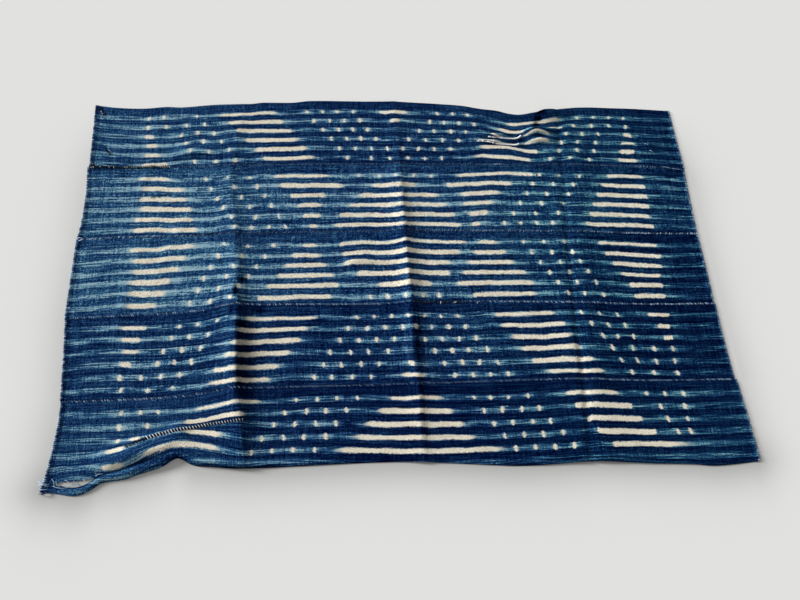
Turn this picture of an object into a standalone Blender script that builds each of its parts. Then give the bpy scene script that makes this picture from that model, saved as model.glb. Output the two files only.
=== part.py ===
"""An indigo strip cloth, laid out on a floor.

Five handwoven strips lie edge to edge, where a weaver sews them together. The cloth was kept
folded, so three soft creases still cross it. Its far edge has a pucker, and its near hem is
rolled, rucked, turned up and torn at one corner. Units are metres and +Z is up. The strips run
along X, and strip_1 is the farthest out in +Y.
"""
from bisect import bisect_right
from collections import namedtuple
import math

import bmesh
import bpy

# Driving sizes
THICKNESS = 0.0015          # one layer of handspun cotton
HEM_THICKNESS = 0.0030      # where the cloth is turned over on itself
SEAM_GAP = 0.0004           # between two strips
END_HEM = 0.009             # width of the narrow hem at each end of the strips
TURNED_UP = 0.010           # width of the selvedge turned up along the near hem
TURNED_UP_FROM, TURNED_UP_TO = 0.235, 0.640
CLOSEST_COLUMNS = 0.004     # nearest that two of the mesh's columns stand
COLUMN_PITCH = 0.045        # spacing of the mesh's columns where the cloth lies flat
CENTRE_X, CENTRE_Y = -0.0030, 0.0067    # middle of the cloth's box, which becomes the origin

# How far out each strip's ends are. The bow is how far an end's middle stands to the right of
# the straight line between its corners.
Strip = namedtuple("Strip", "name left_far left_near left_bow right_far right_near right_bow colour")
STRIPS = (
    Strip("strip_1", -0.751, -0.748, 0.000, 0.752, 0.755, -0.001, (0.045, 0.135, 0.300)),
    Strip("strip_2", -0.753, -0.756, 0.006, 0.753, 0.745, -0.001, (0.060, 0.165, 0.330)),
    Strip("strip_3", -0.757, -0.761, 0.000, 0.745, 0.744, 0.001, (0.055, 0.150, 0.310)),
    Strip("strip_4", -0.760, -0.749, 0.001, 0.746, 0.748, -0.001, (0.030, 0.095, 0.240)),
    Strip("strip_5", -0.747, -0.766, 0.005, 0.752, 0.760, 0.002, (0.028, 0.090, 0.230)),
)

# How the far edge, the four seams and the near hem run, as (x, y) stops on smooth lines
LINES = {
    "far_edge": ((-0.75, 0.473), (-0.70, 0.466), (-0.64, 0.464), (-0.58, 0.470), (-0.54, 0.469),
                 (-0.46, 0.478), (-0.375, 0.481), (-0.34, 0.486), (-0.27, 0.487), (-0.22, 0.493),
                 (0.00, 0.493), (0.08, 0.490), (0.175, 0.483), (0.225, 0.474), (0.27, 0.468),
                 (0.30, 0.459), (0.33, 0.457), (0.375, 0.468), (0.43, 0.476), (0.50, 0.481),
                 (0.60, 0.480), (0.75, 0.473)),
    "seam_1": ((-0.75, 0.291), (-0.55, 0.292), (-0.40, 0.298), (-0.10, 0.301), (0.30, 0.301),
               (0.50, 0.298), (0.64, 0.294), (0.75, 0.287)),
    "seam_2": ((-0.75, 0.097), (-0.65, 0.102), (-0.47, 0.104), (-0.40, 0.109), (-0.10, 0.111),
               (0.10, 0.111), (0.30, 0.108), (0.47, 0.103), (0.62, 0.097), (0.75, 0.095)),
    "seam_3": ((-0.75, -0.097), (-0.60, -0.092), (-0.47, -0.086), (-0.405, -0.075), (-0.33, -0.074),
               (-0.10, -0.078), (0.00, -0.077), (0.20, -0.078), (0.35, -0.084), (0.50, -0.091),
               (0.62, -0.095), (0.75, -0.096)),
    "seam_4": ((-0.75, -0.284), (-0.55, -0.283), (-0.46, -0.277), (-0.395, -0.269), (-0.30, -0.268),
               (-0.10, -0.270), (0.10, -0.271), (0.35, -0.272), (0.48, -0.279), (0.62, -0.284),
               (0.75, -0.286)),
    "near_hem": ((-0.766, -0.466), (-0.736, -0.470), (-0.70, -0.476), (-0.676, -0.470),
                 (-0.650, -0.454), (-0.604, -0.448), (-0.58, -0.440), (-0.535, -0.427),
                 (-0.508, -0.411), (-0.495, -0.413), (-0.472, -0.426), (-0.43, -0.432),
                 (-0.375, -0.438), (-0.15, -0.438), (-0.03, -0.440), (0.12, -0.452), (0.22, -0.460),
                 (0.38, -0.458), (0.45, -0.463), (0.52, -0.469), (0.60, -0.474), (0.655, -0.480),
                 (0.76, -0.475)),
}
BORDERS = tuple(LINES.values())

# The fold creases. Each follows its (y, x) path and is as high as its (y, height) stops say.
Crease = namedtuple("Crease", "path heights profile")
# A ridge leans: a long rise on its left, and a short hollow fall on its right
RIDGE = ((-0.150, 0.00), (-0.080, 0.20), (-0.030, 0.60), (0.000, 1.00), (0.010, 0.62),
         (0.026, 0.28), (0.050, 0.09), (0.090, 0.00))
# A sharp little ridge
PEAK = ((-0.070, 0.00), (-0.035, 0.24), (-0.012, 0.72), (0.000, 1.00), (0.010, 0.56),
        (0.024, 0.22), (0.050, 0.00))
# A trough between two low shoulders
TROUGH = ((-0.090, 0.00), (-0.045, 0.38), (-0.014, 0.80), (0.000, 0.15), (0.012, 0.72),
          (0.034, 1.00), (0.075, 0.46), (0.140, 0.00))
CREASES = (
    Crease(path=((-0.44, -0.368), (-0.34, -0.378), (-0.20, -0.391), (-0.08, -0.391), (0.08, -0.396),
                 (0.26, -0.414), (0.38, -0.402), (0.48, -0.388)),
           heights=((-0.44, 0.004), (-0.38, 0.012), (-0.28, 0.017), (-0.12, 0.016), (0.02, 0.010),
                    (0.20, 0.006), (0.34, 0.004), (0.48, 0.002)),
           profile=RIDGE),
    Crease(path=((-0.44, 0.010), (-0.25, 0.007), (-0.08, 0.004), (0.10, 0.000), (0.48, -0.003)),
           heights=((-0.44, 0.004), (-0.30, 0.007), (-0.18, 0.008), (-0.04, 0.013), (0.08, 0.013),
                    (0.22, 0.009), (0.34, 0.005), (0.48, 0.003)),
           profile=PEAK),
    Crease(path=((-0.45, 0.372), (-0.30, 0.383), (-0.15, 0.389), (0.05, 0.402), (0.25, 0.418),
                 (0.45, 0.434)),
           heights=((-0.45, 0.004), (-0.20, 0.006), (-0.05, 0.005), (0.25, 0.004), (0.45, 0.003)),
           profile=TROUGH),
)

# Rucks and puckers inside a strip: low hills at (x, y) that reach so far left, right, up and down
Ruck = namedtuple("Ruck", "x y height left right far near")
RUCKS = (
    Ruck(0.270, 0.388, 0.010, 0.080, 0.065, 0.008, 0.007),
    Ruck(0.268, 0.368, 0.009, 0.085, 0.060, 0.009, 0.006),
    Ruck(0.365, 0.402, 0.013, 0.042, 0.070, 0.016, 0.014),
    Ruck(0.375, 0.374, 0.009, 0.050, 0.060, 0.011, 0.009),
    Ruck(0.400, 0.452, 0.012, 0.024, 0.080, 0.040, 0.030),
    Ruck(-0.515, 0.332, 0.008, 0.050, 0.090, 0.030, 0.020),
    Ruck(-0.120, 0.030, 0.007, 0.036, 0.080, 0.022, 0.020),
)

# Sections through the near hem. Seen from the hem inwards, the cloth goes up over a rolled
# edge, down into a valley and up over a ruck, and comes to rest. Each column pair gives how far
# in a point of the section lies and how high it is.
HemSection = namedtuple("HemSection", "x roll_in roll_up valley_in valley_up ruck_in ruck_up rest_in")
HEM_SECTIONS = (
    HemSection(-0.766, 0.008, 0.0015, 0.0150, 0.000, 0.044, 0.000, 0.070),
    HemSection(-0.730, 0.008, 0.0020, 0.0160, 0.000, 0.048, 0.001, 0.074),
    HemSection(-0.700, 0.008, 0.0030, 0.0155, 0.000, 0.048, 0.002, 0.078),
    HemSection(-0.665, 0.008, 0.0040, 0.0170, 0.000, 0.042, 0.006, 0.080),
    HemSection(-0.635, 0.008, 0.0060, 0.0175, 0.001, 0.034, 0.012, 0.080),
    HemSection(-0.600, 0.011, 0.0080, 0.0240, 0.002, 0.041, 0.016, 0.086),
    HemSection(-0.550, 0.010, 0.0100, 0.0215, 0.006, 0.042, 0.017, 0.086),
    HemSection(-0.508, 0.008, 0.0120, 0.0160, 0.011, 0.038, 0.015, 0.082),
    HemSection(-0.460, 0.008, 0.0090, 0.0170, 0.009, 0.038, 0.009, 0.078),
    HemSection(-0.390, 0.007, 0.0060, 0.0180, 0.004, 0.036, 0.003, 0.070),
    HemSection(-0.300, 0.006, 0.0030, 0.0180, 0.001, 0.036, 0.000, 0.066),
    HemSection(-0.150, 0.006, 0.0015, 0.0180, 0.000, 0.036, 0.000, 0.066),
    HemSection(0.760, 0.006, 0.0015, 0.0180, 0.000, 0.036, 0.000, 0.066),
)
HEM_SHAPE = tuple((section.x, section[1:]) for section in HEM_SECTIONS)

# The tear along the foot of the rolled hem, near the left corner
TEAR_FROM, TEAR_TO = -0.735, -0.664
TEAR_OPENING = 0.013

# Where the mesh's columns stand closer than COLUMN_PITCH, for the pucker, the ruck and the tear
Crowd = namedtuple("Crowd", "strip_index x_from x_to pitch")
CROWDS = (
    Crowd(0, 0.200, 0.460, 0.017),
    Crowd(0, -0.570, -0.440, 0.030),
    Crowd(2, -0.180, -0.080, 0.025),
    Crowd(4, -0.741, -0.660, 0.012),
    Crowd(4, -0.660, -0.460, 0.016),
    Crowd(4, -0.460, -0.370, 0.024),
)

# How far across each plain strip its rows of vertices lie. The pucker crosses strip_1.
EVEN_ROWS = tuple(row / 6 for row in range(7))
PUCKER_ROWS = (0.0, 0.10, 0.19, 0.28, 0.35, 0.41, 0.47, 0.53, 0.59, 0.65, 0.72, 0.80, 0.90, 1.0)
HEM_STRIP_ROWS = 4          # rows of faces across strip_5 before its hem begins


def blend(low, high, share):
    """Mix two numbers, or two rows of numbers, by a share from 0 to 1."""
    if isinstance(low, tuple):
        return tuple(blend(a, b, share) for a, b in zip(low, high))
    return low + (high - low) * share


def straight_line(stops, place):
    """Value at a place on the straight runs between (place, value) stops."""
    places = [stop[0] for stop in stops]
    index = min(max(bisect_right(places, place) - 1, 0), len(stops) - 2)
    share = (place - places[index]) / (places[index + 1] - places[index])
    return blend(stops[index][1], stops[index + 1][1], min(max(share, 0.0), 1.0))


def smooth_line(stops, place):
    """Value at a place on the smooth line through (place, value) stops, level past both ends."""
    places = [stop[0] for stop in stops]
    values = [stop[1] for stop in stops]
    last = len(stops) - 1
    if place <= places[0] or place >= places[last]:
        return values[0] if place <= places[0] else values[last]

    def slope(index):
        before, after = max(index - 1, 0), min(index + 1, last)
        return (values[after] - values[before]) / (places[after] - places[before])

    index = bisect_right(places, place) - 1
    span = places[index + 1] - places[index]
    share = (place - places[index]) / span
    start_pull = share * (1 - share) ** 2 * span * slope(index)
    end_pull = share ** 2 * (share - 1) * span * slope(index + 1)
    ease = share * share * (3 - 2 * share)
    return blend(values[index], values[index + 1], ease) + start_pull + end_pull


def hill(distance, reach_before, reach_after):
    """A soft hill, 1 at its middle and 0 past its reach on either side."""
    reach = reach_before if distance < 0 else reach_after
    share = min(abs(distance) / reach, 1.0)
    return (1 - share * share) ** 2


def end_x(strip, side, share):
    """Where a strip's left or right end lies, a share of the way across it from its far edge."""
    bow = 4 * share * (1 - share)
    if side == "left":
        return blend(strip.left_far, strip.left_near, share) + strip.left_bow * bow
    return blend(strip.right_far, strip.right_near, share) + strip.right_bow * bow


def crease_height(x, y):
    """How high the three fold creases lift the cloth."""
    height = 0.0
    for crease in CREASES:
        offset = x - smooth_line(crease.path, y)
        height += smooth_line(crease.heights, y) * smooth_line(crease.profile, offset)
    return height


def ruck_height(x, y):
    """How high the rucks and puckers lift the cloth."""
    return sum(ruck.height * hill(x - ruck.x, ruck.left, ruck.right)
               * hill(y - ruck.y, ruck.near, ruck.far) for ruck in RUCKS)


def hem_height(x, inwards):
    """How high the rolled near hem lifts the cloth at a distance in from its edge."""
    roll_in, roll_up, valley_in, valley_up, ruck_in, ruck_up, rest_in = straight_line(HEM_SHAPE, x)
    section = ((0.0, 0.0), (roll_in, roll_up), (valley_in, valley_up), (ruck_in, ruck_up),
               (rest_in, 0.0))
    return smooth_line(section, inwards)


def cloth_point(strip_index, x, across):
    """A point on the underside: x, and the share of the way from the strip's far to near border."""
    far_y = smooth_line(BORDERS[strip_index], x)
    near_y = smooth_line(BORDERS[strip_index + 1], x)
    y = blend(far_y, near_y, across)
    height = crease_height(x, y) + ruck_height(x, y)
    if strip_index == len(STRIPS) - 1:
        height += hem_height(x, y - near_y)
    return x, y, max(height, 0.0)


def column_places(strip_index):
    """Flat places of the mesh's columns, which crowd together at creases, rucks and end hems."""
    crowds = [crowd for crowd in CROWDS if crowd.strip_index == strip_index]
    places = [-0.75, -0.75 + END_HEM, 0.75 - END_HEM, 0.75]
    for crease in CREASES:
        crest = smooth_line(crease.path, 0.0)
        places += [crest + offset for offset, _ in crease.profile]
    for crowd in crowds:
        places += [crowd.x_from, crowd.x_to]
    marks = sorted(places)
    for before, after in zip(marks, marks[1:]):
        pitches = [crowd.pitch for crowd in crowds if crowd.x_from <= before < crowd.x_to]
        pieces = max(round((after - before) / min(pitches + [COLUMN_PITCH])), 1)
        places += [blend(before, after, piece / pieces) for piece in range(1, pieces)]
    return without_near_twins(sorted(places))


def without_near_twins(places):
    """Drop each place that lies too close to the one before it."""
    kept = places[:2]
    for place in places[2:]:
        if place - kept[-1] > CLOSEST_COLUMNS:
            kept.append(place)
    return kept


def column_x(strip, place, y, across):
    """Where a column runs at a given y: the creases and the ends pull it off its flat place."""
    left, right = end_x(strip, "left", across), end_x(strip, "right", across)
    pulls = [(-0.75, left + 0.75), (-0.75 + END_HEM, left + 0.75)]
    for crease in CREASES:
        crest = smooth_line(crease.path, 0.0)
        pull = smooth_line(crease.path, y) - crest
        pulls += [(crest + crease.profile[0][0], pull), (crest + crease.profile[-1][0], pull)]
    pulls += [(0.75 - END_HEM, right - 0.75), (0.75, right - 0.75)]
    return place + straight_line(pulls, place)


def row_shares(strip_index, x):
    """Shares of the way across a strip at which its rows of vertices lie."""
    if strip_index < len(STRIPS) - 1:
        return PUCKER_ROWS if strip_index == 0 else EVEN_ROWS
    width = smooth_line(BORDERS[strip_index], x) - smooth_line(BORDERS[strip_index + 1], x)
    roll_in, _, valley_in, _, ruck_in, _, rest_in = straight_line(HEM_SHAPE, x)
    marks = (rest_in, ruck_in, valley_in, roll_in, 0.0)
    inwards = [blend(width, rest_in, row / HEM_STRIP_ROWS) for row in range(HEM_STRIP_ROWS)]
    for outer, inner in zip(marks, marks[1:]):
        inwards += [outer, blend(outer, inner, 0.5)]
    inwards.append(0.0)
    return [1 - distance / width for distance in inwards]


def seam_trim(strip_index, across):
    """How far a border row is moved in from a seam, so that two strips don't touch."""
    if across == 0.0 and strip_index > 0:
        return -SEAM_GAP / 2
    if across == 1.0 and strip_index < len(STRIPS) - 1:
        return SEAM_GAP / 2
    return 0.0


def sheet_mesh(strip_index):
    """The strip's underside: a grid whose vertices are laid on the cloth's shape."""
    strip = STRIPS[strip_index]
    columns = column_places(strip_index)
    rows = len(row_shares(strip_index, 0.0))
    mesh = bmesh.new()
    bmesh.ops.create_grid(mesh, x_segments=len(columns) - 1, y_segments=rows - 1, size=1.0)
    column_of = mesh.verts.layers.int.new("column")
    row_of = mesh.verts.layers.int.new("row")
    for vertex in mesh.verts:
        column = round((vertex.co.x + 1) / 2 * (len(columns) - 1))
        row = round((1 - vertex.co.y) / 2 * (rows - 1))
        vertex[column_of], vertex[row_of] = column, row
        rough = row_shares(strip_index, columns[column])[row]
        far_y = smooth_line(BORDERS[strip_index], columns[column])
        near_y = smooth_line(BORDERS[strip_index + 1], columns[column])
        x = column_x(strip, columns[column], blend(far_y, near_y, rough), rough)
        across = row_shares(strip_index, x)[row]
        x, y, z = cloth_point(strip_index, x, across)
        y += seam_trim(strip_index, across)
        vertex.co = (x - CENTRE_X, y - CENTRE_Y, z)
    return mesh, column_of, row_of


def open_tear(mesh, row_of):
    """Split the row along the foot of the rolled hem, and draw its inner side away."""
    foot_row = max(vertex[row_of] for vertex in mesh.verts) - 4
    left, right = TEAR_FROM - CENTRE_X, TEAR_TO - CENTRE_X
    torn = [edge for edge in mesh.edges
            if all(vertex[row_of] == foot_row and left < vertex.co.x < right
                   for vertex in edge.verts)]
    bmesh.ops.split_edges(mesh, edges=torn)
    for vertex in mesh.verts:
        is_inner_side = all(any(other[row_of] < foot_row for other in face.verts)
                            for face in vertex.link_faces)
        share = (vertex.co.x - left) / (right - left)
        if vertex[row_of] == foot_row and is_inner_side and 0 < share < 1:
            vertex.co.y += TEAR_OPENING * math.sin(math.pi * share) ** 0.7


def is_turned_up(x, y):
    """Whether a point lies in the selvedge that is turned up along the near hem."""
    inwards = y - smooth_line(LINES["near_hem"], x)
    return inwards < TURNED_UP and TURNED_UP_FROM < x < TURNED_UP_TO


def cloth_material(strip):
    """Dull indigo cotton in the strip's own average blue."""
    material = bpy.data.materials.new(strip.name + "_cotton")
    material.use_nodes = True
    shader = material.node_tree.nodes["Principled BSDF"]
    shader.inputs["Base Color"].default_value = (*strip.colour, 1.0)
    shader.inputs["Roughness"].default_value = 0.9
    shader.inputs["Metallic"].default_value = 0.0
    return material


def make_strip(strip_index, collection):
    """One strip of the cloth, as a sheet thickened upwards from its underside."""
    strip = STRIPS[strip_index]
    grid, column_of, row_of = sheet_mesh(strip_index)
    if strip_index == len(STRIPS) - 1:
        open_tear(grid, row_of)
    last_column = max(vertex[column_of] for vertex in grid.verts)
    doubled = [vertex[column_of] in (0, 1, last_column - 1, last_column)
               or is_turned_up(vertex.co.x + CENTRE_X, vertex.co.y + CENTRE_Y)
               for vertex in grid.verts]
    mesh = bpy.data.meshes.new(strip.name)
    grid.to_mesh(mesh)
    grid.free()
    mesh.materials.append(cloth_material(strip))
    obj = bpy.data.objects.new(strip.name, mesh)
    collection.objects.link(obj)
    layers = obj.vertex_groups.new(name="layers")
    for index, is_doubled in enumerate(doubled):
        layers.add([index], 1.0 if is_doubled else THICKNESS / HEM_THICKNESS, "REPLACE")
    thicken = obj.modifiers.new("thickness", "SOLIDIFY")
    thicken.thickness = HEM_THICKNESS
    thicken.offset = 1.0
    thicken.vertex_group = layers.name
    return obj


def main():
    for old in list(bpy.data.objects):
        bpy.data.objects.remove(old, do_unlink=True)
    collection = bpy.data.collections.new("indigo_cloth")
    bpy.context.scene.collection.children.link(collection)
    for strip_index in range(len(STRIPS)):
        make_strip(strip_index, collection)


main()
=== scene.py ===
# %% [markdown]
# An indigo strip cloth, laid out on a pale floor.
# Five handwoven cotton strips are whipped together edge to edge. Before dyeing, rows of the cloth
# were gathered with stitches, and those stitches kept the indigo out of cream bars and dots.
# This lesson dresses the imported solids: it makes the cloth in five fine sheets, dyes it with
# shader nodes, and then sews it with real thread.

# %% Load the fixed frame
import math

import bmesh
import bpy
import numpy as np
from mathutils import Matrix, Vector


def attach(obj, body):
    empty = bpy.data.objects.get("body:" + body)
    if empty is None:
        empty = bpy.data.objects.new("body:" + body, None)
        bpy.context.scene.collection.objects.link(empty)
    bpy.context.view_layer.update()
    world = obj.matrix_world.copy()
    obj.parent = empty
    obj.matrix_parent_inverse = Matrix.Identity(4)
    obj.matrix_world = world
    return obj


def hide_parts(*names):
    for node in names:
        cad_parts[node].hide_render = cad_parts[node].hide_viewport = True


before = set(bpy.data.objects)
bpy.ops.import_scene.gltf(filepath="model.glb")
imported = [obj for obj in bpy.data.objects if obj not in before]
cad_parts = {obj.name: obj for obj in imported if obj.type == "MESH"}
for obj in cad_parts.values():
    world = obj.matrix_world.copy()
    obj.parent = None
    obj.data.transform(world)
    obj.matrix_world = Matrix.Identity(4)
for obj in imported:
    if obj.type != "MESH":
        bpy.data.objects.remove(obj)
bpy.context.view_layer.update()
MM = 0.001

# %% [markdown]
# The camera comes first, so that every later step can be judged from the right place. The cloth
# was photographed by someone who stood at its near side and held the camera about 1.5 m up,
# turned a little to the left and rolled. Blender's camera looks along its own -Z, so the three
# axes are worked out from yaw, pitch and roll and put into one matrix.

# %% Camera
CAMERA_PLACE = Vector((-0.2011, -0.6901, 1.4920))
CAMERA_YAW, CAMERA_PITCH, CAMERA_ROLL = (math.radians(angle) for angle in (-16.51, 66.75, 14.02))
LENS_MM, SENSOR_MM = 31.5, 36.0


def add_object(name, data):
    """Put a mesh, a lamp or a camera into the scene."""
    made = bpy.data.objects.new(name, data)
    bpy.context.scene.collection.objects.link(made)
    return made


def camera_axes(yaw, pitch, roll):
    """The camera's right, up and forward directions."""
    forward = Vector((-math.sin(yaw) * math.cos(pitch), math.cos(yaw) * math.cos(pitch),
                      -math.sin(pitch)))
    level = Vector((math.cos(yaw), math.sin(yaw), 0.0))
    above = level.cross(forward)
    right = math.cos(roll) * level + math.sin(roll) * above
    up = -math.sin(roll) * level + math.cos(roll) * above
    return right, up, forward


right, up, forward = camera_axes(CAMERA_YAW, CAMERA_PITCH, CAMERA_ROLL)
camera = add_object("camera", bpy.data.cameras.new("camera"))
camera.data.lens = LENS_MM
camera.data.sensor_width = SENSOR_MM
camera.matrix_world = Matrix.Translation(CAMERA_PLACE) @ Matrix((right, up, -forward)).transposed().to_4x4()
bpy.context.scene.camera = camera
print("camera height:", round(camera.location.z, 2), "m")

# %% [markdown]
# The cloth's plan. Every strip is about 19 cm wide and 150 cm long, and hand sewing has pulled
# its borders out of line, so the borders are smooth curves through a few stops. The stops are
# written in millimetres as (x, y), with +X along the strips and +Y towards the far edge. A smooth
# line through a few stops is easier to change than hundreds of mesh points, so tones, creases and
# mends are written as stops too.

# %% Plan of the cloth
CENTRE = np.array((-0.0030, 0.0067))      # middle of the cloth's box, in the plan's own numbers
STRIP_LENGTH = 1500 * MM
THICKNESS = 1.5 * MM
END_HEM = 9 * MM                          # the narrow hem turned over at both ends
CORNER = 6 * MM                           # how far the near right corner is rounded off
CORNER_FROM = 0.92                        # share of the way across where its rounding starts

# Each strip's left and right ends: x of the far corner and of the near one, and the bow to the right
ENDS = {
    1: ((-751, -748, 0), (752, 755, -1)),
    2: ((-753, -756, 6), (753, 745, -1)),
    3: ((-757, -761, 0), (745, 744, 1)),
    4: ((-760, -749, 1), (746, 748, -1)),
    5: ((-747, -766, 5), (752, 760, 2)),
}
FAR_EDGE = ((-750, 473), (-700, 466), (-640, 464), (-580, 470), (-540, 469), (-460, 478),
            (-375, 481), (-340, 486), (-270, 487), (-220, 493), (0, 493), (80, 490), (175, 483),
            (225, 474), (270, 468), (300, 459), (330, 456), (375, 464), (430, 470), (500, 480),
            (600, 480), (750, 473))
SEAM_1 = ((-750, 291), (-550, 292), (-400, 298), (-100, 301), (300, 301), (500, 298), (640, 294),
          (750, 287))
SEAM_2 = ((-750, 97), (-650, 102), (-470, 104), (-400, 109), (-100, 111), (100, 111), (300, 108),
          (470, 103), (620, 97), (750, 95))
SEAM_3 = ((-750, -97), (-600, -92), (-470, -86), (-405, -75), (-330, -74), (-100, -78), (0, -77),
          (200, -78), (350, -84), (500, -91), (620, -95), (750, -96))
SEAM_4 = ((-750, -284), (-550, -283), (-460, -277), (-395, -269), (-300, -268), (-100, -270),
          (100, -271), (350, -272), (480, -279), (620, -284), (750, -286))
NEAR_HEM = ((-766, -466), (-736, -470), (-700, -476), (-676, -470), (-650, -454), (-604, -448),
            (-580, -440), (-535, -427), (-508, -411), (-495, -413), (-472, -426), (-430, -432),
            (-375, -438), (-150, -438), (-30, -440), (120, -452), (220, -460), (380, -458),
            (450, -463), (520, -469), (600, -474), (655, -480), (760, -475))
LINES = (FAR_EDGE, SEAM_1, SEAM_2, SEAM_3, SEAM_4, NEAR_HEM)


def smooth_line(places, values, at):
    """Values at some places on the smooth line through stops, level past both ends.

    The stops may be plain numbers, or arrays that change from place to place.
    """
    at = np.asarray(at, float)
    last = len(places) - 1
    slopes = []
    for index in range(last + 1):
        before, after = max(index - 1, 0), min(index + 1, last)
        slopes.append((values[after] - values[before]) / (places[after] - places[before]))
    result = np.where(at <= places[0], values[0], values[last]) * 1.0
    for index in range(last):
        span = places[index + 1] - places[index]
        share = (at - places[index]) / span
        ease = share * share * (3 - 2 * share)
        value = values[index] + (values[index + 1] - values[index]) * ease
        value = value + share * (1 - share) ** 2 * span * slopes[index]
        value = value + share ** 2 * (share - 1) * span * slopes[index + 1]
        result = np.where((share >= 0) & (share < 1), value, result)
    return result


def stops_line(stops, at, unit=MM):
    """The smooth line through stops of a place in mm and a value that is counted in a unit."""
    places, values = np.array(stops, float).T
    return smooth_line(places * MM, values * unit, at)


def border(index, x):
    """Y of the far edge (0), a seam (1 to 4) or the near hem (5)."""
    return stops_line(LINES[index], x)


def strip_width(strip, x):
    """How wide a strip is at some places along it."""
    return border(strip - 1, x) - border(strip, x)


def end_places(strip, across):
    """X of a strip's left and right ends, a share of the way across from its far border."""
    arc = 4 * across * (1 - across)
    left, right = [far + (near - far) * across + bow * arc
                   for far, near, bow in np.array(ENDS[strip]) * MM]
    if strip == 5:
        right = right - CORNER * np.clip((across - CORNER_FROM) / (1 - CORNER_FROM), 0, 1) ** 2
    return left, right


for strip in ENDS:
    print("strip", strip, "is", round(float(strip_width(strip, 0.0)) / MM), "mm wide in the middle")

# %% [markdown]
# The folds. The cloth was kept folded, so three creases cross it from far to near: a tall leaning
# ridge, a small sharp ridge, and a trough between low shoulders. A crease is a path, a height
# along the path, and a profile across it. The far pucker and the rucks are hills, and the hem rolls
# up beside a valley and a ruck. A cloth simulation would have to be coaxed into these exact
# creases, so they are placed one by one, as a tailor would lay them.

# %% Creases and rucks
CREASES = {
    "leaning_ridge": dict(
        path=((-440, -368), (-340, -378), (-200, -391), (-80, -391), (80, -396), (260, -414),
              (380, -402), (480, -388)),
        heights=((-440, 4), (-380, 12), (-280, 17), (-120, 16), (20, 10), (200, 6), (340, 4),
                 (480, 2)),
        profile=((-150, 0.00), (-80, 0.20), (-30, 0.60), (0, 1.00), (10, 0.62), (26, 0.28),
                 (50, 0.09), (90, 0.00))),
    "sharp_peak": dict(
        path=((-440, 10), (-250, 7), (-80, 4), (100, 0), (480, -3)),
        heights=((-440, 4), (-300, 7), (-180, 8), (-40, 13), (80, 13), (220, 9), (340, 5),
                 (480, 3)),
        profile=((-70, 0.00), (-35, 0.24), (-12, 0.72), (0, 1.00), (10, 0.56), (24, 0.22),
                 (50, 0.00))),
    "trough": dict(
        path=((-450, 372), (-300, 383), (-150, 389), (50, 402), (250, 418), (450, 434)),
        heights=((-450, 4), (-200, 6), (-50, 5), (250, 4), (450, 3)),
        profile=((-90, 0.00), (-45, 0.38), (-14, 0.80), (0, 0.15), (12, 0.72), (34, 1.00),
                 (75, 0.46), (140, 0.00))),
}
RUCKS = (                                 # x, y, height, reach left, right, far and near
    (270, 388, 10, 80, 65, 8, 7),
    (268, 368, 9, 85, 60, 9, 6),
    (365, 402, 13, 42, 70, 16, 14),
    (375, 374, 9, 50, 60, 11, 9),
    (400, 452, 12, 24, 80, 40, 30),
    (-515, 332, 8, 50, 90, 30, 20),
    (-120, 30, 7, 36, 80, 22, 20),
)
# Sections through the near hem: how far in and how high the roll, the valley and the ruck are,
# and how far in the cloth comes to rest
HEM_SECTIONS = np.array((                 # x, roll in, up, valley in, up, ruck in, up, rest in
    (-766, 8, 1.5, 15.0, 0, 44, 0, 70),
    (-730, 8, 2.0, 16.0, 0, 48, 1, 74),
    (-700, 8, 3.0, 15.5, 0, 48, 2, 78),
    (-665, 8, 4.0, 17.0, 0, 42, 6, 80),
    (-635, 8, 6.0, 17.5, 1, 34, 12, 80),
    (-600, 11, 8.0, 24.0, 2, 41, 16, 86),
    (-550, 10, 10.0, 21.5, 6, 42, 17, 86),
    (-508, 8, 12.0, 16.0, 11, 38, 15, 82),
    (-460, 8, 9.0, 17.0, 9, 38, 9, 78),
    (-390, 7, 6.0, 18.0, 4, 36, 3, 70),
    (-300, 6, 3.0, 18.0, 1, 36, 0, 66),
    (-150, 6, 1.5, 18.0, 0, 36, 0, 66),
    (760, 6, 1.5, 18.0, 0, 36, 0, 66),
)) * MM


def hill(distance, reach_before, reach_after):
    """A soft hill, 1 at its middle and 0 past its reach on either side."""
    share = np.minimum(np.abs(distance) / np.where(distance < 0, reach_before, reach_after), 1.0)
    return (1 - share * share) ** 2


def crease_height(x, y):
    """How high the three fold creases lift the cloth."""
    height = np.zeros_like(x)
    for crease in CREASES.values():
        offset = x - stops_line(crease["path"], y)
        height += stops_line(crease["heights"], y) * stops_line(crease["profile"], offset, 1)
    return height


def ruck_height(x, y):
    """How high the rucks and puckers lift the cloth."""
    height = np.zeros_like(x)
    for row in RUCKS:
        ruck_x, ruck_y, rise, left, right_reach, far, near = np.array(row) * MM
        height += rise * hill(x - ruck_x, left, right_reach) * hill(y - ruck_y, near, far)
    return height


def hem_sizes(x):
    """The near hem's section sizes at some places along it."""
    return [np.interp(x, HEM_SECTIONS[:, 0], column) for column in HEM_SECTIONS.T[1:]]


def hem_height(x, inwards):
    """How high the rolled near hem lifts the cloth at a distance in from its edge."""
    roll_in, roll_up, valley_in, valley_up, ruck_in, ruck_up, rest_in = hem_sizes(x)
    nothing = np.zeros_like(roll_in)
    return smooth_line((nothing, roll_in, valley_in, ruck_in, rest_in),
                       (nothing, roll_up, valley_up, ruck_up, nothing), inwards)


print("folds:", len(CREASES), "creases,", len(RUCKS), "hills and", len(HEM_SECTIONS), "hem sections")

# %% [markdown]
# Small unevenness. Handspun cloth never lies dead flat, so a few long waves under a millimetre
# high run under everything, and some old fold lines show as faint diagonal ridges. Sines give the
# waves, because they need no seed and repeat exactly.

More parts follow.
